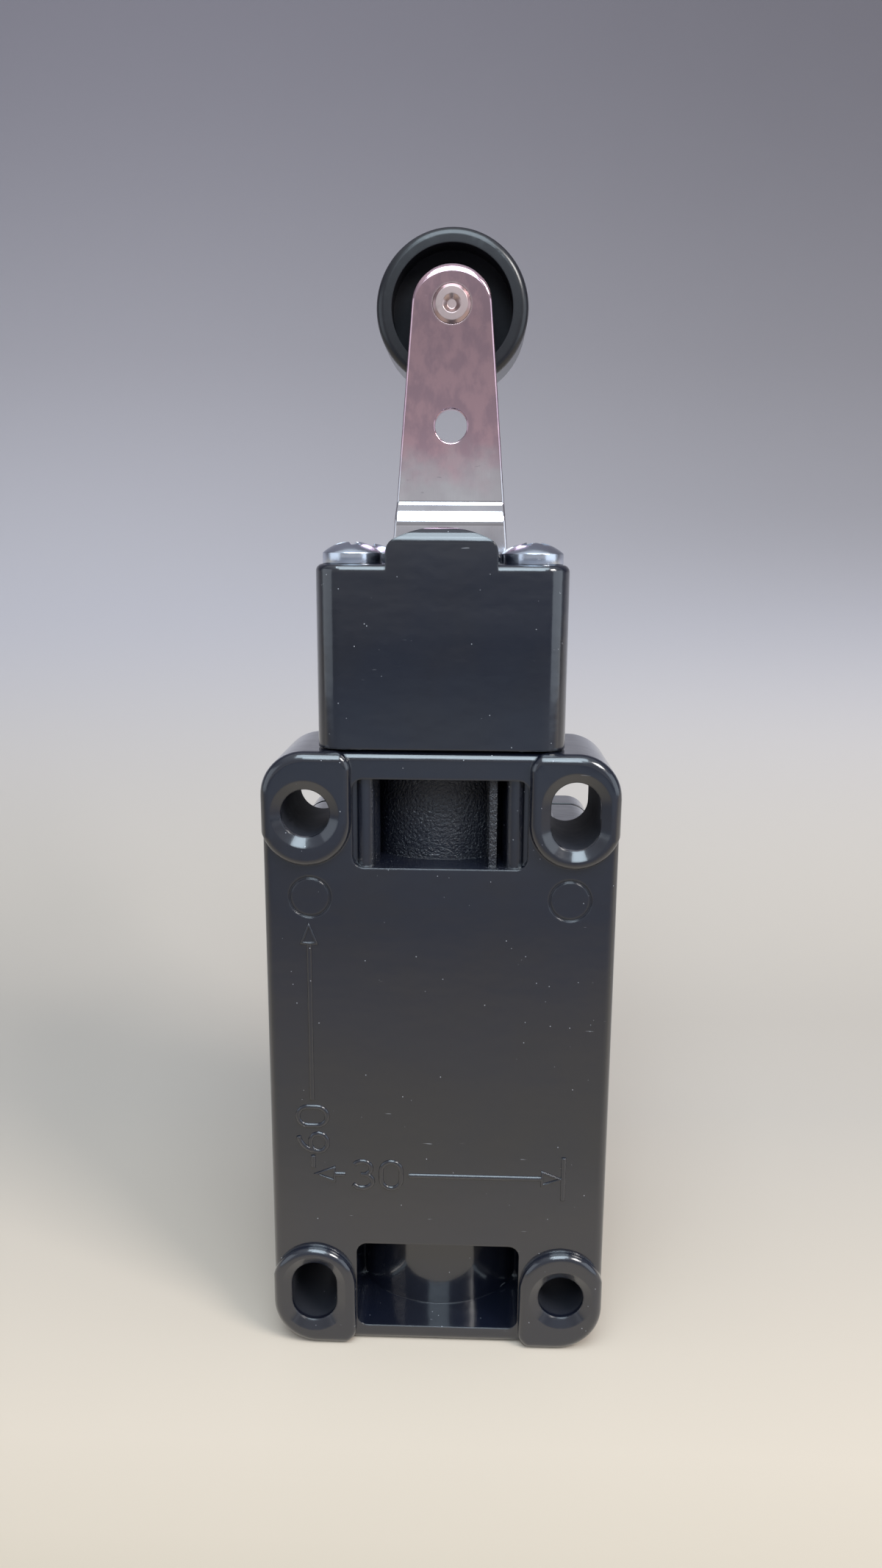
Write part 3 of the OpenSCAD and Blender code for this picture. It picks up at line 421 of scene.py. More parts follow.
@dataclass(frozen=True)
class CastCoating(Finish):
    """Semi-gloss coating on a die casting, dull in the bores and grainy in the upper cored pocket.

    A span says where the soft edge of a mask starts and where it ends.
    """

    colour: Colour = (0.0060, 0.0078, 0.0158)
    cloud: Colour = (0.0080, 0.0088, 0.0146)
    dust: Colour = (0.42, 0.43, 0.46)
    roughness: float = 0.12
    ior: float = 1.6
    coat: float = 0.60
    coat_roughness: float = 0.06
    pocket_half: float = 9.4
    pocket_side: Span = (0.0, 0.3)
    pocket_mouth: Span = (1.6, 2.1)
    pocket_back: Span = (16.0, 17.0)
    pocket_floor: Span = (19.9, 20.3)
    pocket_top: Span = (37.0, 37.1)
    hole: Point = (15.0, 30.0)
    bore_rim: Span = (4.2, 4.4)
    bore_mouth: Span = (0.9, 1.3)
    clouds: Mottle = Mottle(0.09, 3.0, limits=(0.35, 0.65))
    speck_scale: float = 0.85
    speck_size: Span = (0.035, 0.065)
    dusty: Mottle = Mottle(0.35, 1.0, limits=(0.46, 0.56))
    lines: Mottle = Mottle(1.1, limits=(0.735, 0.76), stretch=(0.25, 1.0, 2.6), turn=(0.4, 0.2, 0.9))
    rubbed: Mottle = Mottle(0.16, 0.0, limits=(0.5, 0.6))
    peel: Mottle = Mottle(1.1)
    waves: Mottle = Mottle(0.30, stretch=(0.5, 1.0, 1.0))
    grain: Mottle = Mottle(3.0, 3.0, 0.65)
    haze: Mottle = Mottle(0.6, 3.0)
    speck_strength: float = 0.8
    scratch_strength: float = 0.35
    haze_roughness: float = 0.10
    bore_roughness: float = 0.45
    mark_roughness: float = 0.2
    peel_height: float = 0.16
    wave_height: float = 1.4
    grain_height: float = 4.5
    scratch_height: float = 0.06
    depth: float = 0.06
    edge: float = 0.35

    def pocket(self, graph: Graph, point: Socket) -> Socket:
        """Returns a mask of the upper cored pocket.

        Args:
            graph: Graph of the material.
            point: Point on the piece in millimetres.

        Returns:
            1 inside the pocket, 0 outside.
        """
        x, y, z = graph.axes(point)
        across = (self.pocket_half - x.absolute()).rise(*self.pocket_side)
        deep = across * y.rise(*self.pocket_mouth) * (1.0 - y.rise(*self.pocket_back))
        return deep * z.rise(*self.pocket_floor) * (1.0 - z.rise(*self.pocket_top))

    def bores(self, graph: Graph, point: Socket) -> Socket:
        """Returns a mask of the four mounting bores, behind their mouths.

        Args:
            graph: Graph of the material.
            point: Point on the piece in millimetres.

        Returns:
            1 inside a bore, 0 outside.
        """
        mirrored = graph.node("ShaderNodeVectorMath", {"operation": "ABSOLUTE"}, {0: point})
        inside = 1.0 - graph.reach(mirrored, self.hole).rise(*self.bore_rim)
        return inside * graph.axes(point)[1].rise(*self.bore_mouth)

    def surface(self, graph: Graph, point: Socket) -> dict[str, Any]:
        """Lays a clouded dark coat with dust, fine scratches, orange peel and a grainy pocket.

        Args:
            graph: Graph of the material.
            point: Point on the piece in millimetres.

        Returns:
            What feeds the shader's sockets, by name.
        """
        pocket = self.pocket(graph, point)
        bore = self.bores(graph, point)
        specks = 1.0 - graph.cells(point, self.speck_scale).rise(*self.speck_size)
        scratches = self.lines.patches(graph, point) * self.rubbed.patches(graph, point)
        marks = (specks * self.dusty.patches(graph, point) * self.speck_strength
                 + scratches * self.scratch_strength)
        base = graph.mix(self.clouds.patches(graph, point), self.colour, self.cloud)
        height = (self.peel.value(graph, point) * self.peel_height
                  + self.waves.value(graph, point) * self.wave_height
                  + pocket * self.grain.value(graph, point) * self.grain_height
                  + scratches * self.scratch_height)
        return {
            "Base Color": graph.mix(marks, base, self.dust),
            "Roughness": (self.roughness + self.haze.value(graph, point) * self.haze_roughness
                          + bore * self.bore_roughness + marks * self.mark_roughness),
            "IOR": self.ior,
            "Coat Weight": self.coat - pocket * self.coat - bore * self.coat,
            "Coat IOR": self.ior,
            "Coat Roughness": self.coat_roughness,
            "Normal": graph.relief(height, self.depth, self.edge),
        }


@dataclass(frozen=True)
class Metal(Finish):
    """Bare or plated metal with a grain along one direction and a faint tarnish."""

    colour: Colour
    tarnish: Colour
    roughness: float
    grain: Triple = (1.0, 1.0, 1.0)
    grain_depth: float = 0.02
    grain_roughness: float = 0.12
    edge: float = 0.12
    grain_scale: float = 3.0
    clouds: Mottle = Mottle(0.22, 3.0, limits=(0.36, 0.64))
    scuffs: Mottle = Mottle(1.3, limits=(0.72, 0.80), stretch=(0.5, 0.9, 2.2), turn=(0.3, 0.5, 0.2))
    cloud_share: float = 0.6
    grain_share: float = 0.25
    scuff_roughness: float = 0.12
    scuff_height: float = 0.4

    def surface(self, graph: Graph, point: Socket) -> dict[str, Any]:
        """Lays clouded metal with drawn grain and small scuffs.

        Args:
            graph: Graph of the material.
            point: Point on the piece in millimetres.

        Returns:
            What feeds the shader's sockets, by name.
        """
        drawn = Mottle(self.grain_scale, detail=3.0, rough=0.6, stretch=self.grain).value(graph, point)
        scuffs = self.scuffs.patches(graph, point)
        dull = self.clouds.patches(graph, point) * self.cloud_share + drawn * self.grain_share
        return {
            "Base Color": graph.mix(dull, self.colour, self.tarnish),
            "Metallic": 1.0,
            "Roughness": self.roughness + drawn * self.grain_roughness + scuffs * self.scuff_roughness,
            "Normal": graph.relief(drawn + scuffs * self.scuff_height, self.grain_depth, self.edge),
        }


@dataclass(frozen=True)
class LeverSteel(Metal):
    """Plated sheet steel with a painted mauve reflection above the bend, dull where the rivet was spun over
    and warmer there with a painted reflection.
    """

    # Painted reflection: mauve tones of the room laid into the colour above the bend, in two tones at random
    painted_reflection: Colour = (0.72, 0.48, 0.54)
    deep_painted_reflection: Colour = (0.58, 0.40, 0.47)
    painted_reflection_z: Span = (70.0, 78.0)
    painted_reflection_edge: Mottle = Mottle(0.35)
    painted_reflection_wander: float = 8.0
    deep: Mottle = Mottle(0.42, 3.0, 0.6, limits=(0.38, 0.62), stretch=(1.0, 1.0, 0.6), turn=(0.0, 0.5, 0.0))
    rivet: Point = (0.0, ROLLER_Z)
    rivet_rim: Span = (2.4, 2.9)
    rivet_share: float = 0.7
    rivet_roughness: float = 0.22
    # Painted reflection: the warm beige that the rivet's dome reflects
    painted_rivet_reflection: Colour = (0.48, 0.39, 0.34)

    def surface(self, graph: Graph, point: Socket) -> dict[str, Any]:
        """Lays grained metal with a painted mauve reflection above the bend, duller at the rivet and warmer
        there with a painted reflection.

        Args:
            graph: Graph of the material.
            point: Point on the piece in millimetres.

        Returns:
            What feeds the shader's sockets, by name.
        """
        fed = super().surface(graph, point)
        height = graph.axes(point)[2]
        # Share of the painted mauve reflection, rising over a wandering height above the bend
        painted_reflection_share = (height + self.painted_reflection_edge.value(graph, point) * self.painted_reflection_wander).rise(*self.painted_reflection_z)
        painted_reflection_colour = graph.mix(self.deep.patches(graph, point), self.painted_reflection, self.deep_painted_reflection)
        sheet = graph.mix(painted_reflection_share, fed["Base Color"], painted_reflection_colour)
        rivet = 1.0 - graph.reach(point, self.rivet).rise(*self.rivet_rim)
        # Painted warm reflection on the rivet; the added roughness is its dull metal
        fed["Base Color"] = graph.mix(rivet * self.rivet_share, sheet, self.painted_rivet_reflection)
        fed["Roughness"] = fed["Roughness"] + rivet * self.rivet_roughness
        return fed


@dataclass(frozen=True)
class Moulding(Finish):
    """Moulded plastic or rubber with a fine spark texture and a few pale scuffs."""

    colour: Colour
    fleck: Colour
    roughness: float
    texture: float = 3.5
    depth: float = 0.02
    wear: float = 0.3
    edge: float = 0.2
    flecks: Mottle = Mottle(1.7, limits=(0.5, 0.72))
    scuffs: Mottle = Mottle(0.9, 3.0, limits=(0.66, 0.74), stretch=(2.0, 0.4, 2.0), turn=(0.0, 0.2, 0.0))
    fleck_share: float = 0.5
    texture_roughness: float = 0.14
    scuff_roughness: float = 0.2
    scuff_height: float = 0.5

    def surface(self, graph: Graph, point: Socket) -> dict[str, Any]:
        """Lays a flecked body colour with a fine texture and scuffs.

        Args:
            graph: Graph of the material.
            point: Point on the piece in millimetres.

        Returns:
            What feeds the shader's sockets, by name.
        """
        fine = Mottle(self.texture, rough=0.6).value(graph, point)
        scuffs = self.scuffs.patches(graph, point) * self.wear
        pale = self.flecks.patches(graph, point) * self.fleck_share + scuffs
        return {
            "Base Color": graph.mix(pale, self.colour, self.fleck),
            "Roughness": self.roughness + fine * self.texture_roughness + scuffs * self.scuff_roughness,
            "Normal": graph.relief(fine + scuffs * self.scuff_height, self.depth, self.edge),
        }


@dataclass(frozen=True)
class RollerPlastic(Moulding):
    """Moulded plastic of the roller: polished rim and tread, dull dish."""

    axis: Point = (0.0, ROLLER_Z)
    dish_rim: Span = (8.0, 8.3)
    dish_roughness: float = 0.3
    ior: float = 1.30
    polish: float = 0.7
    polish_ior: float = 1.55
    polish_roughness: float = 0.22

    def surface(self, graph: Graph, point: Socket) -> dict[str, Any]:
        """Lays textured plastic with a clear polish outside the dish.

        Args:
            graph: Graph of the material.
            point: Point on the piece in millimetres.

        Returns:
            What feeds the shader's sockets, by name.
        """
        fed = super().surface(graph, point)
        rim = graph.reach(point, self.axis).rise(*self.dish_rim)
        fed["Roughness"] = fed["Roughness"] + (1.0 - rim) * self.dish_roughness
        fed["IOR"] = self.ior
        fed["Coat Weight"] = rim * self.polish
        fed["Coat IOR"] = self.polish_ior
        fed["Coat Roughness"] = self.polish_roughness
        return fed


@dataclass(frozen=True)
class Paper(Finish):
    """Matt paper of floor and backdrop, beige near the switch and grey going up, with painted shade: a
    painted shadow on the floor in front of the switch, and the wall painted darker upwards and to the right.
    """

    floor_from: float = -400.0
    floor_span: float = 500.0
    # Floor colours from far in front (0) to behind the switch (1). Out of view in front of the switch, a
    # painted shadow band at 0.48 lies between a grey far end and the beige floor from 0.745; these tones are
    # set for what the castings' lower faces reflect. The floor grows darker again towards the backdrop.
    floor: Stops = (
        (0.00, (0.240, 0.250, 0.275)), (0.25, (0.225, 0.225, 0.245)), (0.48, (0.185, 0.170, 0.170)),
        (0.60, (0.33, 0.28, 0.24)), (0.716, (0.47, 0.40, 0.31)), (0.745, (0.57, 0.48, 0.385)),
        (0.77, (0.61, 0.515, 0.42)), (0.92, (0.51, 0.45, 0.395)),
    )
    low_wall: Colour = (0.42, 0.395, 0.42)
    low_wall_z: Span = (-37.0, 45.0)
    # Painted shade: the wall darkens towards its top
    high_wall_painted_shade: Colour = (0.172, 0.156, 0.178)
    high_wall_painted_shade_z: Span = (0.0, 250.0)
    # Painted shade: the wall is darker to the right and higher up
    shade: float = 0.34
    shade_x: Span = (-160.0, 160.0)
    shade_z: Span = (0.0, 80.0)
    roughness: float = 0.75
    haze: Mottle = Mottle(0.05)
    haze_roughness: float = 0.1
    specular: float = 0.2

    def surface(self, graph: Graph, point: Socket) -> dict[str, Any]:
        """Lays the floor's colours, then the wall's over them, with painted shade: darker upwards and to the
        right.

        Args:
            graph: Graph of the material.
            point: Point on the sheet in millimetres.

        Returns:
            What feeds the shader's sockets, by name.
        """
        across, depth, height = graph.axes(point)
        # Floor colour along the depth, with the painted shadow band in front of the switch
        floor = graph.ramp(self.floor, (depth - self.floor_from) * (1.0 / self.floor_span))
        low = graph.mix(height.rise(*self.low_wall_z), floor, self.low_wall)
        # Painted shade towards the top of the wall
        wall = graph.mix(height.rise(*self.high_wall_painted_shade_z), low, self.high_wall_painted_shade)
        # Painted shade to the right and upwards
        shade = across.rise(*self.shade_x) * height.rise(*self.shade_z) * self.shade
        return {
            "Base Color": graph.mix(shade, wall, BLACK),
            "Roughness": self.roughness + self.haze.value(graph, point) * self.haze_roughness,
            "Specular IOR Level": self.specular,
        }


FINISHES: dict[Slot, Finish] = {
    Slot.CAST_COATING: CastCoating("cast_coating"),
    Slot.BLACK_RUBBER: Moulding(
        "black_rubber", (0.010, 0.010, 0.010), (0.022, 0.022, 0.022), roughness=0.62, texture=2.0,
        depth=0.03),
    Slot.ZINC_PLATE: Metal(
        "zinc_plate", (0.66, 0.70, 0.78), (0.56, 0.60, 0.70), roughness=0.16, grain_depth=0.010),
    Slot.LEVER_STEEL: LeverSteel(
        "lever_steel", (0.66, 0.64, 0.67), (0.56, 0.53, 0.56), roughness=0.05, grain=(3.0, 1.0, 0.10),
        grain_depth=0.004, grain_roughness=0.05),
    Slot.SPRING_STEEL: Metal(
        "spring_steel", (0.42, 0.42, 0.43), (0.34, 0.33, 0.33), roughness=0.24, grain_depth=0.010),
    Slot.SINTER_BRONZE: Metal(
        "sinter_bronze", (0.38, 0.25, 0.13), (0.24, 0.15, 0.08), roughness=0.38, grain_depth=0.04),
    Slot.ROLLER_PLASTIC: RollerPlastic(
        "roller_plastic", (0.006, 0.006, 0.009), (0.009, 0.009, 0.013), roughness=0.26, depth=0.006,
        wear=0.08),
    Slot.BLOCK_PLASTIC: Moulding(
        "block_plastic", (0.050, 0.028, 0.020), (0.085, 0.050, 0.034), roughness=0.46),
    Slot.LID_PLASTIC: Moulding(
        "lid_plastic", (0.018, 0.018, 0.020), (0.034, 0.034, 0.036), roughness=0.40),
    Slot.PALE_PLASTIC: Moulding(
        "pale_plastic", (0.68, 0.66, 0.60), (0.60, 0.57, 0.50), roughness=0.36, wear=0.1),
    Slot.CONTACT_BRASS: Metal(
        "contact_brass", (0.62, 0.42, 0.16), (0.48, 0.30, 0.10), roughness=0.22, grain=(0.3, 2.0, 2.0),
        grain_depth=0.010),
}


class Workshop:
    """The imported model, the materials and the ways to turn a node into a finished piece."""

    def __init__(self, frame: Mapping[str, Any]) -> None:
        """Reads the bodies and slots of the record and builds the materials.

        Args:
            frame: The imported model, as loaded.
        """
        record = frame["record"]
        bodies = record["behaviour"]["bodies"]
        self.nodes: dict[str, bpy.types.Object] = frame["nodes"]
        self.body_of = {node: body for body, nodes in bodies.items() for node in nodes}
        self.slot_of = {part["node"]: Slot(part["material_slot"]) for part in record["subparts"]}
        self.materials = {slot: finish.material() for slot, finish in FINISHES.items()}

    def merged(self, node: str) -> bmesh.types.BMesh:
        """Copies a node's mesh and joins its triangles.

        Args:
            node: Node to copy.

        Returns:
            The copy.
        """
        work = bmesh.new()
        work.from_mesh(self.nodes[node].data)
        bmesh.ops.remove_doubles(work, verts=work.verts, dist=MERGE_DISTANCE)
        return work

    @staticmethod
    def flatten(work: bmesh.types.BMesh) -> None:
        """Joins the faces of a mesh that lie in one plane."""
        bmesh.ops.dissolve_limit(work, angle_limit=math.radians(FLAT_ANGLE), verts=work.verts,
                                 edges=work.edges)

    @staticmethod
    def sharp(work: bmesh.types.BMesh, least: float) -> list[bmesh.types.BMEdge]:
        """Returns the edges whose faces meet at more than an angle in degrees."""
        limit = math.radians(least)
        return [edge for edge in work.edges if edge.is_manifold and edge.calc_face_angle() > limit]

    @staticmethod
    def round_edges(work: bmesh.types.BMesh, edges: list[bmesh.types.BMEdge], width: float,
                    segments: int) -> None:
        """Rounds some edges of a mesh by a width in metres, in a number of steps."""
        bmesh.ops.bevel(work, geom=edges, offset=width, offset_type="OFFSET", segments=segments, profile=0.5,
                        affect="EDGES", clamp_overlap=True)

    def soften(self, work: bmesh.types.BMesh, width: float, segments: int,
               least: float = SHARP_ANGLE) -> None:
        """Rounds all edges that are sharper than an angle in degrees."""
        self.flatten(work)
        self.round_edges(work, self.sharp(work, least), width, segments)

    @staticmethod
    def piece(name: str, work: bmesh.types.BMesh, crease: float = CREASE_ANGLE) -> bpy.types.Object:
        """Turns a mesh into an object with smooth faces and crisp edges.

        Args:
            name: Name of the object.
            work: Mesh of the piece, freed afterwards.
            crease: Angle from which an edge stays crisp, in degrees.

        Returns:
            The object, linked to the scene.
        """
        for face in work.faces:
            face.smooth = True
        for edge in work.edges:
            edge.smooth = edge.is_manifold and edge.calc_face_angle() < math.radians(crease)
        mesh = bpy.data.meshes.new(name)
        work.to_mesh(mesh)
        work.free()
        if "custom_normal" in mesh.attributes:
            mesh.attributes.remove(mesh.attributes["custom_normal"])
        made = bpy.data.objects.new(name, mesh)
        bpy.context.scene.collection.objects.link(made)
        weighted = made.modifiers.new("face_normals", "WEIGHTED_NORMAL")
        weighted.keep_sharp = True
        return made

    def dress(self, piece: bpy.types.Object, node: str, stands_for: bool = True) -> bpy.types.Object:
        """Gives a piece the finish and the body of a node.

        Args:
            piece: Finished piece.
            node: Node that it belongs to.
            stands_for: Whether it takes the node's place.

        Returns:
            The piece.
        """
        slot = self.slot_of[node]
        body = self.body_of[node]
        piece.data.materials.clear()
        piece.data.materials.append(self.materials[slot])
        if stands_for:
            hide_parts(node)
        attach(piece, body)
        LOG.info("%s: %d faces, %s, rides on %s", piece.name, len(piece.data.polygons), slot.value, body)
        return piece

    def skin(self, node: str, width: float = 0.0, segments: int = 2,
             crease: float = CREASE_ANGLE) -> bpy.types.Object:
        """Makes and dresses a smooth copy of a node.

        Args:
            node: Node to copy.
            width: Width of rounded edges, in metres; 0 leaves them to the finish.
            segments: Steps across a rounded edge.
            crease: Angle from which an edge stays crisp, in degrees.

        Returns:
            The piece.
        """
        work = self.merged(node)
        if width:
            self.soften(work, width, segments)
        return self.dress(self.piece(f"{node}_skin", work, crease), node)


@dataclass
class Castings:
    """Housing, front cover and rotary head; the head's edges are rounder than the body's."""

    body: tuple[str, ...] = ("housing", "front_cover")
    head: str = "head_housing"
    head_edge: float = 0.45 * MM
    head_segments: int = 3

    def build(self, shop: Workshop) -> None:
        """Makes the three castings.

        Args:
            shop: Workshop that makes and dresses the pieces.
        """
        for node in self.body:
            shop.skin(node)
        shop.skin(self.head, self.head_edge, self.head_segments)


@dataclass
class PanelMarks:
    """Raised dimension marks of the fixing pattern on the back panel: arrows, lines and plain numbers.

    Places and sizes on the panel are in millimetres from the middle of the pattern. The bowls of the digits
    are shares of half a digit's width and of its height.
    """

    panel_y: float = 1.1 * MM
    relief: float = 0.20 * MM
    stroke: float = 0.29 * MM
    bead_sides: int = 12
    crease: float = 60.0
    digit_h: float = 3.5
    digit_w: float = 2.4
    digit_gap: float = 1.0
    three_middle: float = 0.95
    three_upper: Point = (0.9, 0.25)
    three_lower: Point = (1.05, 0.26)
    three_open: float = 150.0
    six_bowl: float = 0.3
    six_tip: float = 100.0
    arrow_w: float = 1.7
    arrow_len: float = 2.2
    column_text: str = "60"
    column_x: float = -14.9
    column_top: float = 16.9
    column_number: float = -8.6
    column_lead: float = 0.4
    column_foot: float = 0.8
    row_text: str = "30"
    row_z: float = -14.4
    row_end: float = 14.6
    row_number: float = -7.3
    number_room: float = 0.9
    witness_h: float = 5.6
    witness_gap: float = 0.3
    arc_steps: int = 10

    def arc(self, centre: Point, radii: Point, start: float, end: float) -> Stroke:
        """Returns points along part of an ellipse, angles in degrees."""
        steps = [math.radians(start + (end - start) * i / self.arc_steps) for i in range(self.arc_steps + 1)]
        return [(centre[0] + radii[0] * math.cos(a), centre[1] + radii[1] * math.sin(a)) for a in steps]

    def nought(self) -> list[Stroke]:
        """Returns the stroke of a 0: two half circles and the straight sides between them.

        Returns:
            One closed stroke.
        """
        half = self.digit_w / 2
        top = self.arc((half, self.digit_h - half), (half, half), 0, 180)
        foot = self.arc((half, half), (half, half), 180, 360)
        return [top + foot + top[:1]]

    def three(self) -> list[Stroke]:
        """Returns the stroke of a 3: two open bowls, the lower one larger.

        Returns:
            One stroke.
        """
        half, h = self.digit_w / 2, self.digit_h
        middle = half * self.three_middle
        (upper_w, upper_h), (lower_w, lower_h) = self.three_upper, self.three_lower
        upper = self.arc((middle, h - h * upper_h), (half * upper_w, h * upper_h), self.three_open, -90)
        lower = self.arc((middle, h * lower_h), (half * lower_w, h * lower_h), 90, -self.three_open)
        return [upper + lower]

    def six(self) -> list[Stroke]:
        """Returns the strokes of a 6: a closed bowl and the curved stem over it.

        Returns:
            Two strokes.
        """
        w, bowl = self.digit_w, self.digit_h * self.six_bowl
        loop = self.arc((w / 2, bowl), (w / 2, bowl), 0, 360)
        stem = self.arc((w, bowl), (w, self.digit_h - bowl), self.six_tip, 180)
        return [loop, stem]

    def number(self, text: str) -> list[Stroke]:
        """Writes a number.

        Args:
            text: Digits of the number, each of them 0, 3 or 6.

        Returns:
            The strokes, with the middle of the number at the origin.
        """
        digits = {"0": self.nought, "3": self.three, "6": self.six}
        pitch = self.digit_w + self.digit_gap
        shift = (pitch * len(text) - self.digit_gap) / 2
        return [[(x + i * pitch - shift, y - self.digit_h / 2) for x, y in stroke]
                for i, letter in enumerate(text) for stroke in digits[letter]()]

    def arrow(self, tip: Point, towards: Point) -> Stroke:
        """Draws an open arrow head.

        Args:
            tip: Point of the arrow.
            towards: Direction in which it points, of length 1.

        Returns:
            A closed stroke.
        """
        back = (tip[0] - towards[0] * self.arrow_len, tip[1] - towards[1] * self.arrow_len)
        side = (-towards[1] * self.arrow_w / 2, towards[0] * self.arrow_w / 2)
        return [tip, (back[0] + side[0], back[1] + side[1]), (back[0] - side[0], back[1] - side[1]), tip]

    def column(self, half: float) -> list[Stroke]:
        """Draws the upright dimension, whose number reads from below.

        Args:
            half: Half the room that a number takes up in its line.

        Returns:
            The strokes, as x and z.
        """
        x, number = self.column_x, self.column_number
        strokes = [self.arrow((x, self.column_top), (0, 1))]
        strokes.append([(x, self.column_top - self.arrow_len), (x, number + half)])
        strokes.append([(x, number - half + self.column_lead), (x, self.row_z + self.column_foot)])
        strokes += [[(x - b, number + a) for a, b in stroke] for stroke in self.number(self.column_text)]
        return strokes

    def row(self, half: float) -> list[Stroke]:
        """Draws the level dimension with the witness line at its right end.

        Args:
            half: Half the room that a number takes up in its line.

        Returns:
            The strokes, as x and z.
        """
        z, end, number = self.row_z, self.row_end, self.row_number
        witness_x = end + self.witness_gap
        strokes = [self.arrow((-end, z), (-1, 0)), self.arrow((end, z), (1, 0))]
        strokes.append([(-end + self.arrow_len, z), (number - half, z)])
        strokes.append([(number + half, z), (end - self.arrow_len, z)])
        strokes.append([(witness_x, z - self.witness_h / 2), (witness_x, z + self.witness_h / 2)])
        strokes += [[(number + a, z + b) for a, b in stroke] for stroke in self.number(self.row_text)]
        return strokes

    def tree(self) -> GeometryTree:
        """Makes the tree that sweeps a flat rounded bead along the edges of a mesh.

        Returns:
            The tree.
        """
        tree = GeometryTree("raised_stroke",
                            {"Half Width": self.stroke, "Relief": self.relief, "Surface": None})
        path = tree.node("GeometryNodeMeshToCurve", None, {"Mesh": tree.given("Geometry")})
        path = tree.node("GeometryNodeSetCurveNormal", {"mode": "Z_UP"}, {"Curve": path})
        bead = tree.node("GeometryNodeCurvePrimitiveCircle", None,
                         {"Resolution": self.bead_sides, "Radius": 1.0})
        size = tree.node("ShaderNodeCombineXYZ", None,
                         {"X": tree.given("Half Width"), "Y": tree.given("Relief"), "Z": 1.0})
        bead = tree.node("GeometryNodeTransform", None, {"Geometry": bead, "Scale": size})
        swept = tree.node("GeometryNodeCurveToMesh", None,
                          {"Curve": path, "Profile Curve": bead, "Fill Caps": True})
        return tree.finish(swept)

    def build(self, shop: Workshop) -> None:
        """Sweeps the strokes and lays them on the panel.

        Args:
            shop: Workshop that makes and dresses the pieces.
        """
        half = (2 * self.digit_w + self.digit_gap) / 2 + self.number_room
        work = bmesh.new()
        for stroke in self.column(half) + self.row(half):
            points = [work.verts.new((x * MM, z * MM, 0.0)) for x, z in stroke]
            for first, second in zip(points, points[1:]):
                work.edges.new((first, second))
        bmesh.ops.remove_doubles(work, verts=work.verts, dist=MERGE_DISTANCE)
        laid = self.tree().run(work, {"Surface": shop.materials[Slot.CAST_COATING]})
        stand = Matrix.Translation((0.0, self.panel_y, 0.0)) @ Matrix.Rotation(math.pi / 2, 4, "X")
        bmesh.ops.transform(laid, matrix=stand, verts=laid.verts)
        bmesh.ops.recalc_face_normals(laid, faces=laid.faces)
        shop.dress(shop.piece("panel_marks", laid, self.crease), "housing", stands_for=False)


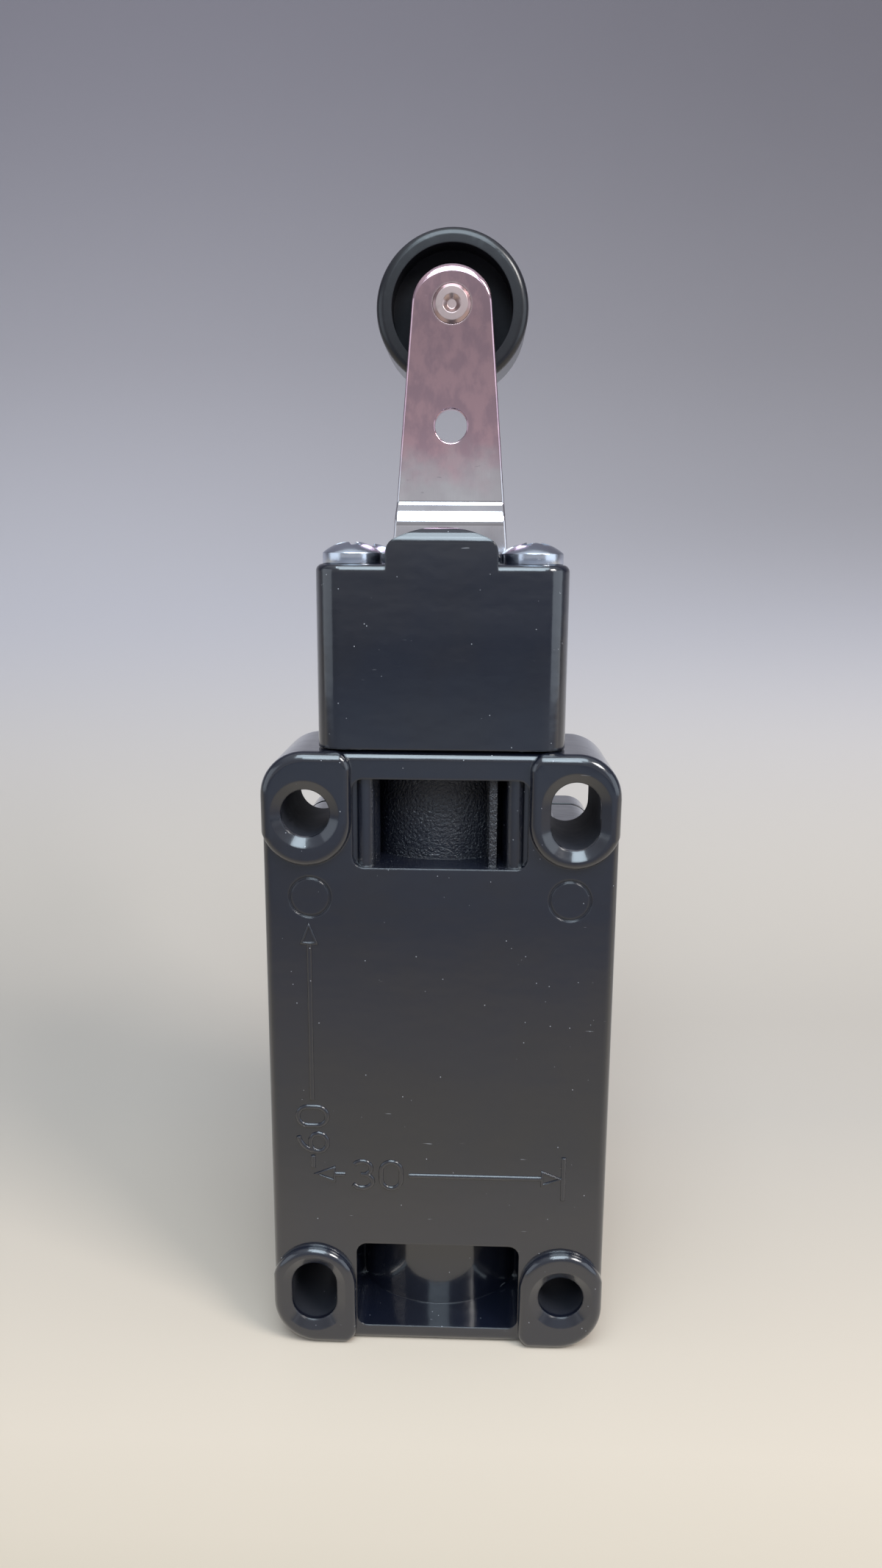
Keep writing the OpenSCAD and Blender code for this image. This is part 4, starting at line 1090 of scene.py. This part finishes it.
@dataclass
class ScrewSet:
    """Four like screws on the corners of a rectangle, each turned by chance."""

    node: str
    axis: Axis
    seed: int
    edge: float = 0.16 * MM
    segments: int = 2
    edge_angle: float = 40.0
    crease: float = 35.0

    def upright(self) -> Matrix:
        """Returns the turn that brings the screws' axis to the vertical."""
        return Matrix.Identity(3) if self.axis is Axis.UP else Matrix.Rotation(math.pi / 2, 3, "X")

    @staticmethod
    def islands(work: bmesh.types.BMesh) -> list[list[bmesh.types.BMVert]]:
        """Sorts the points of a mesh by the screw that they belong to.

        Args:
            work: Mesh of several separate screws.

        Returns:
            The points of each screw.
        """
        seen: set[bmesh.types.BMVert] = set()
        found = []
        for start in work.verts:
            if start in seen:
                continue
            seen.add(start)
            stack, island = [start], []
            while stack:
                point = stack.pop()
                island.append(point)
                near = [edge.other_vert(point) for edge in point.link_edges]
                fresh = [other for other in near if other not in seen]
                seen.update(fresh)
                stack.extend(fresh)
            found.append(island)
        return found

    @staticmethod
    def middle(points: Iterable[bmesh.types.BMVert]) -> Vector:
        """Finds the middle of the points' box, on the ground plane.

        Args:
            points: Points of one screw.

        Returns:
            The middle, at height 0.
        """
        places = [point.co for point in points]
        low = [min(place[i] for place in places) for i in range(2)]
        high = [max(place[i] for place in places) for i in range(2)]
        return Vector(((low[0] + high[0]) / 2, (low[1] + high[1]) / 2, 0.0))

    def tree(self) -> GeometryTree:
        """Makes the tree that sets a screw on the corners of a rectangle.

        Returns:
            The tree.
        """
        origin = Vector((0.0, 0.0, 0.0))
        tree = GeometryTree(f"{self.node}_pattern",
                            {"Across": 0.0, "Along": 0.0, "Middle": origin, "Lay": origin,
                             "Seed": self.seed, "Surface": None})
        corner = tree.node("GeometryNodeMeshGrid", None,
                           {"Size X": tree.given("Across"), "Size Y": tree.given("Along"), "Vertices X": 2,
                            "Vertices Y": 2})
        turn = tree.node("FunctionNodeRandomValue", {"data_type": "FLOAT_VECTOR"},
                         {0: (0.0, 0.0, 0.0), 1: (0.0, 0.0, 2 * math.pi), "Seed": tree.given("Seed")})
        screws = tree.node("GeometryNodeInstanceOnPoints", None,
                           {"Points": corner, "Instance": tree.given("Geometry"), "Rotation": turn})
        moved = tree.node("GeometryNodeTransform", None,
                          {"Geometry": screws, "Translation": tree.given("Middle")})
        laid = tree.node("GeometryNodeTransform", None, {"Geometry": moved, "Rotation": tree.given("Lay")})
        return tree.finish(laid)

    def build(self, shop: Workshop) -> None:
        """Softens one screw and sets four of it.

        Args:
            shop: Workshop that makes and dresses the pieces.
        """
        work = shop.merged(self.node)
        upright = self.upright()
        bmesh.ops.rotate(work, cent=(0.0, 0.0, 0.0), matrix=upright, verts=work.verts)
        screws = self.islands(work)
        middles = [self.middle(island) for island in screws]
        values = {
            "Across": max(m.x for m in middles) - min(m.x for m in middles),
            "Along": max(m.y for m in middles) - min(m.y for m in middles),
            "Middle": sum(middles, Vector((0.0, 0.0, 0.0))) / len(middles),
            "Lay": Vector(upright.inverted().to_euler()),
            "Seed": self.seed,
            "Surface": shop.materials[shop.slot_of[self.node]],
        }
        others = [point for island in screws[1:] for point in island]
        bmesh.ops.delete(work, geom=others, context="VERTS")
        bmesh.ops.translate(work, vec=-middles[0], verts=work.verts)
        shop.soften(work, self.edge, self.segments, self.edge_angle)
        result = self.tree().run(work, values)
        shop.dress(shop.piece(f"{self.node}_set", result, self.crease), self.node)


@dataclass
class LeverTrain:
    """Cranked lever with its shaft, nut, washers and the pin of the roller.

    The bends are drawn out by bend_ease, and the arm narrows on each side by taper for each unit of height.
    The power tip_fade says how fast the wide rounding of the tip dies out, and slack is the margin with which
    edges and points are picked.
    """

    axis_z: float = ROLLER_Z * MM
    tip_r: float = 5.3 * MM
    back_y: float = 36.0 * MM
    rivet_reach: float = 3.2 * MM
    hole_z: float = 75.1 * MM
    hole_r: float = 2.15 * MM
    bend_z: Span = (61.9 * MM, 65.4 * MM)
    bend_ease: float = 1.12
    taper: float = 0.0795
    arm_edge: float = 0.40 * MM
    tip_edge: float = 1.35 * MM
    tip_fade: float = 1.5
    hole_edge: float = 0.22 * MM
    nut_edge: float = 0.18 * MM
    pin_edge: float = 0.22 * MM
    segments: int = 4
    edge_angle: float = 60.0
    crease: float = 35.0
    slack: float = 1.1
    plain: tuple[str, ...] = ("rotary_shaft", "shaft_clip", "lock_washer", "roller_washer")

    @staticmethod
    def reach(edge: bmesh.types.BMEdge, height: float) -> float:
        """Returns how far an edge starts from a line along Y at a height."""
        start = edge.verts[0].co
        return math.hypot(start.x, start.z - height)

    def edges(self, shop: Workshop, arm: bmesh.types.BMesh, at_hole: bool) -> list[bmesh.types.BMEdge]:
        """Finds the sharp edges of the arm, without those of the rivet's hole.

        Args:
            shop: Workshop that knows what is sharp.
            arm: Mesh of the arm.
            at_hole: Whether to take the edges of the small hole, or all others.

        Returns:
            The edges.
        """
        rim = self.slack * self.hole_r
        outer = [edge for edge in shop.sharp(arm, self.edge_angle)
                 if self.reach(edge, self.axis_z) > self.rivet_reach]
        return [edge for edge in outer if (self.reach(edge, self.hole_z) < rim) == at_hole]

    def ease(self, arm: bmesh.types.BMesh) -> None:
        """Draws the two bends out along the arm, which makes the crank's slope gentler.

        Args:
            arm: Mesh of the arm.
        """
        low, high = self.bend_z
        middle = (low + high) / 2
        for point in arm.verts:
            if low < point.co.z < high:
                shift = (point.co.z - middle) * (self.bend_ease - 1.0)
                point.co.z += shift
                point.co.x -= math.copysign(shift * self.taper, point.co.x)

    def roll(self, arm: bmesh.types.BMesh) -> None:
        """Widens the rounding of the tip's back edge towards its top, as a blunt stamping tool leaves it.

        Args:
            arm: Mesh of the arm, with its edges rounded.
        """
        margin = self.slack * self.arm_edge
        for point in arm.verts:
            across, up = point.co.x, point.co.z - self.axis_z
            reach, deep = math.hypot(across, up), point.co.y - self.back_y
            if up < 0.0 or reach < self.tip_r - margin or deep > margin:
                continue
            grow = (self.tip_edge / self.arm_edge - 1.0) * (up / reach) ** self.tip_fade
            point.co.y += deep * grow
            share = 1.0 + (reach - self.tip_r) * grow / reach
            point.co.x, point.co.z = across * share, self.axis_z + up * share

    def build(self, shop: Workshop) -> None:
        """Makes the pieces that turn with the lever.

        Args:
            shop: Workshop that makes and dresses the pieces.
        """
        arm = shop.merged("lever_arm")
        shop.flatten(arm)
        self.ease(arm)
        shop.round_edges(arm, self.edges(shop, arm, at_hole=False), self.arm_edge, self.segments)
        shop.round_edges(arm, self.edges(shop, arm, at_hole=True), self.hole_edge, self.segments)
        self.roll(arm)
        shop.dress(shop.piece("lever_arm_skin", arm, self.crease), "lever_arm")
        shop.skin("lever_nut", self.nut_edge, crease=self.crease)
        shop.skin("roller_pin", self.pin_edge, self.segments, self.crease)
        for node in self.plain:
            shop.skin(node)


@dataclass
class RollerWheel:
    """Plastic roller on its pin."""

    node: str = "roller"

    def build(self, shop: Workshop) -> None:
        """Makes the roller."""
        shop.skin(self.node)


@dataclass
class Spring:
    """Return spring that shortens as a slide moves; here it is a plain piece of fixed length."""

    node: str
    joint: str
    fixed_z: float
    stroke: float
    crease: float = 60.0

    @classmethod
    def tied(cls, record: Mapping[str, Any]) -> list["Spring"]:
        """Returns the springs that the record ties to a slide."""
        return [cls(spring["node"], joint["name"], spring["fixed_end_z_m"], joint["range_m"][1])
                for joint in record["behaviour"]["joints"] for spring in joint.get("deforming_nodes", [])]

    def build(self, shop: Workshop) -> None:
        """Makes the spring as a piece with a mesh of its own.

        Args:
            shop: Workshop that makes and dresses the pieces.
        """
        low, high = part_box(self.node)
        piece = shop.skin(self.node, crease=self.crease)
        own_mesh(piece)


@dataclass
class InnerWorks:
    """Seals, bush, tappet and the contact block inside the castings."""

    nodes: tuple[str, ...] = (
        "cover_gasket", "head_gasket", "shaft_bush", "shaft_seal", "tappet", "contact_base", "contact_lid",
        "switch_plunger", "contact_bridge", "contact_spring", "break_contacts", "make_contacts",
        "terminal_clamps", "base_screws", "earth_clamp", "earth_screw",
    )

    def build(self, shop: Workshop) -> None:
        """Makes the inner pieces."""
        for node in self.nodes:
            shop.skin(node)


@dataclass(frozen=True)
class Lamp:
    """A soft box: where it hangs, its width and height in metres, its power in watts and its colour."""

    name: str
    place: Triple
    size: Point
    power: float
    colour: Colour

    def hang(self, target: Triple) -> None:
        """Adds the light.

        Args:
            target: Point that it faces.
        """
        data = bpy.data.lights.new(self.name, "AREA")
        data.shape = "RECTANGLE"
        data.size, data.size_y = self.size
        data.energy = self.power
        data.color = self.colour
        light = bpy.data.objects.new(self.name, data)
        light.location = self.place
        light.rotation_euler = (Vector(target) - Vector(self.place)).to_track_quat("-Z", "Y").to_euler()
        bpy.context.scene.collection.objects.link(light)


@dataclass
class Viewpoint:
    """Camera where the photograph was taken from: place in metres, angles in radians, image in pixels."""

    place: Triple = (0.003811, -0.116188, 0.05815)
    yaw: float = -0.03184
    pitch: float = 0.2074
    roll: float = -0.006139
    focal_pixels: float = 1479.0
    image_height: float = 2133.0
    sensor_mm: float = 36.0
    near: float = 0.005

    def build(self) -> None:
        """Adds the camera and makes it the scene's own."""
        cos_pitch = math.cos(self.pitch)
        forward = Vector((math.sin(self.yaw) * cos_pitch, math.cos(self.yaw) * cos_pitch,
                          -math.sin(self.pitch)))
        level = Vector((math.cos(self.yaw), -math.sin(self.yaw), 0.0))
        down = forward.cross(level)
        right = math.cos(self.roll) * level + math.sin(self.roll) * down
        up = math.sin(self.roll) * level - math.cos(self.roll) * down
        data = bpy.data.cameras.new("viewpoint")
        data.sensor_width = self.sensor_mm
        data.lens = self.focal_pixels / self.image_height * self.sensor_mm
        data.clip_start = self.near
        camera = bpy.data.objects.new("viewpoint", data)
        turn = Matrix((right, up, -forward)).transposed().to_4x4()
        camera.matrix_world = Matrix.Translation(self.place) @ turn
        bpy.context.scene.collection.objects.link(camera)
        bpy.context.scene.camera = camera


@dataclass
class Studio:
    """Pale floor that curves up into a backdrop, soft lights and a plain room."""

    floor_z: float = -0.037
    floor_front: float = -1.2
    bend_start: float = 0.10
    bend_radius: float = 0.16
    bend_steps: int = 24
    wall_top: float = 0.75
    half_width: float = 1.2
    target: Triple = (0.0, 0.015, 0.03)
    lamps: tuple[Lamp, ...] = (
        Lamp("overhead", (0.0, -0.27, 0.56), (0.44, 0.36), 2.7, COOL_LIGHT),
        Lamp("front_box", (0.0, -0.46, 0.40), (0.24, 0.20), 0.95, COOL_LIGHT),
        Lamp("key_box", (0.42, -0.32, 0.48), (0.22, 0.20), 2.7, WARM_LIGHT),
        Lamp("left_box", (-0.55, -0.22, 0.12), (0.50, 0.40), 0.5, SIDE_LIGHT),
        Lamp("right_box", (0.55, -0.22, 0.12), (0.50, 0.40), 0.7, SIDE_LIGHT),
    )
    room: Stops = (
        (0.00, (0.05, 0.05, 0.05)), (0.44, (0.50, 0.53, 0.60)), (0.495, (0.53, 0.56, 0.63)),
        (0.522, (1.15, 1.18, 1.22)), (0.532, (1.10, 1.13, 1.17)), (0.55, (0.78, 0.79, 0.82)),
        (0.60, (0.59, 0.60, 0.62)), (0.625, (0.72, 0.74, 0.77)), (0.70, (0.80, 0.84, 0.90)),
        (1.00, (1.15, 1.22, 1.30)),
    )
    side_glow: Colour = (0.55, 0.59, 0.66)
    side_limits: Span = (0.55, 0.85)
    room_strength: float = 0.55

    def profile(self) -> list[Point]:
        """Draws the side of the sheet, from the front of the floor to the top of the wall.

        Returns:
            Points as y and z.
        """
        points = [(self.floor_front, self.floor_z), (self.bend_start, self.floor_z)]
        for i in range(1, self.bend_steps + 1):
            a = math.pi / 2 * i / self.bend_steps
            points.append((self.bend_start + self.bend_radius * math.sin(a),
                           self.floor_z + self.bend_radius * (1 - math.cos(a))))
        points.append((self.bend_start + self.bend_radius, self.wall_top))
        return points

    def sweep(self) -> None:
        """Makes the floor and backdrop as one curved sheet."""
        work = bmesh.new()
        rows = [[work.verts.new((side * self.half_width, y, z)) for side in (-1, 1)]
                for y, z in self.profile()]
        for (a, b), (c, d) in zip(rows, rows[1:]):
            work.faces.new((a, b, d, c)).smooth = True
        mesh = bpy.data.meshes.new("backdrop")
        work.to_mesh(mesh)
        work.free()
        mesh.materials.append(Paper("backdrop_paper").material())
        sheet = bpy.data.objects.new("backdrop", mesh)
        bpy.context.scene.collection.objects.link(sheet)

    def world(self) -> None:
        """Gives a grey room with a pale band over the horizon, a pale ceiling and even sides."""
        made = bpy.data.worlds.new("room")
        made.use_nodes = True
        graph = Graph(made.node_tree)
        across, _, up = graph.axes(graph.node("ShaderNodeTexCoord", output="Generated"))
        # The bands run from straight down, at 0, to straight up, at 1
        bands = graph.ramp(self.room, up * 0.5 + 0.5)
        colour = graph.mix(across.absolute().rise(*self.side_limits), bands, self.side_glow)
        back = graph.node("ShaderNodeBackground", None, {"Color": colour, "Strength": self.room_strength})
        graph.node("ShaderNodeOutputWorld", None, {"Surface": back})
        bpy.context.scene.world = made

    def build(self) -> None:
        """Sets the whole studio."""
        self.sweep()
        for lamp in self.lamps:
            lamp.hang(self.target)
        self.world()
        bpy.context.scene.view_settings.view_transform = "Standard"


def main() -> None:
    """Builds the studio and every piece of the switch."""
    logging.basicConfig(level=logging.INFO, format="%(name)s: %(message)s")
    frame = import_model()
    Viewpoint().build()
    Studio().build()
    shop = Workshop(frame)
    assemblies = [
        Castings(),
        PanelMarks(),
        ScrewSet("head_screws", Axis.UP, 5),
        ScrewSet("cover_screws", Axis.FORWARD, 8),
        ScrewSet("terminal_screws", Axis.FORWARD, 3),
        LeverTrain(),
        RollerWheel(),
        *Spring.tied(frame["record"]),
        InnerWorks(),
    ]
    for assembly in assemblies:
        assembly.build(shop)


if __name__ == "__main__":
    main()
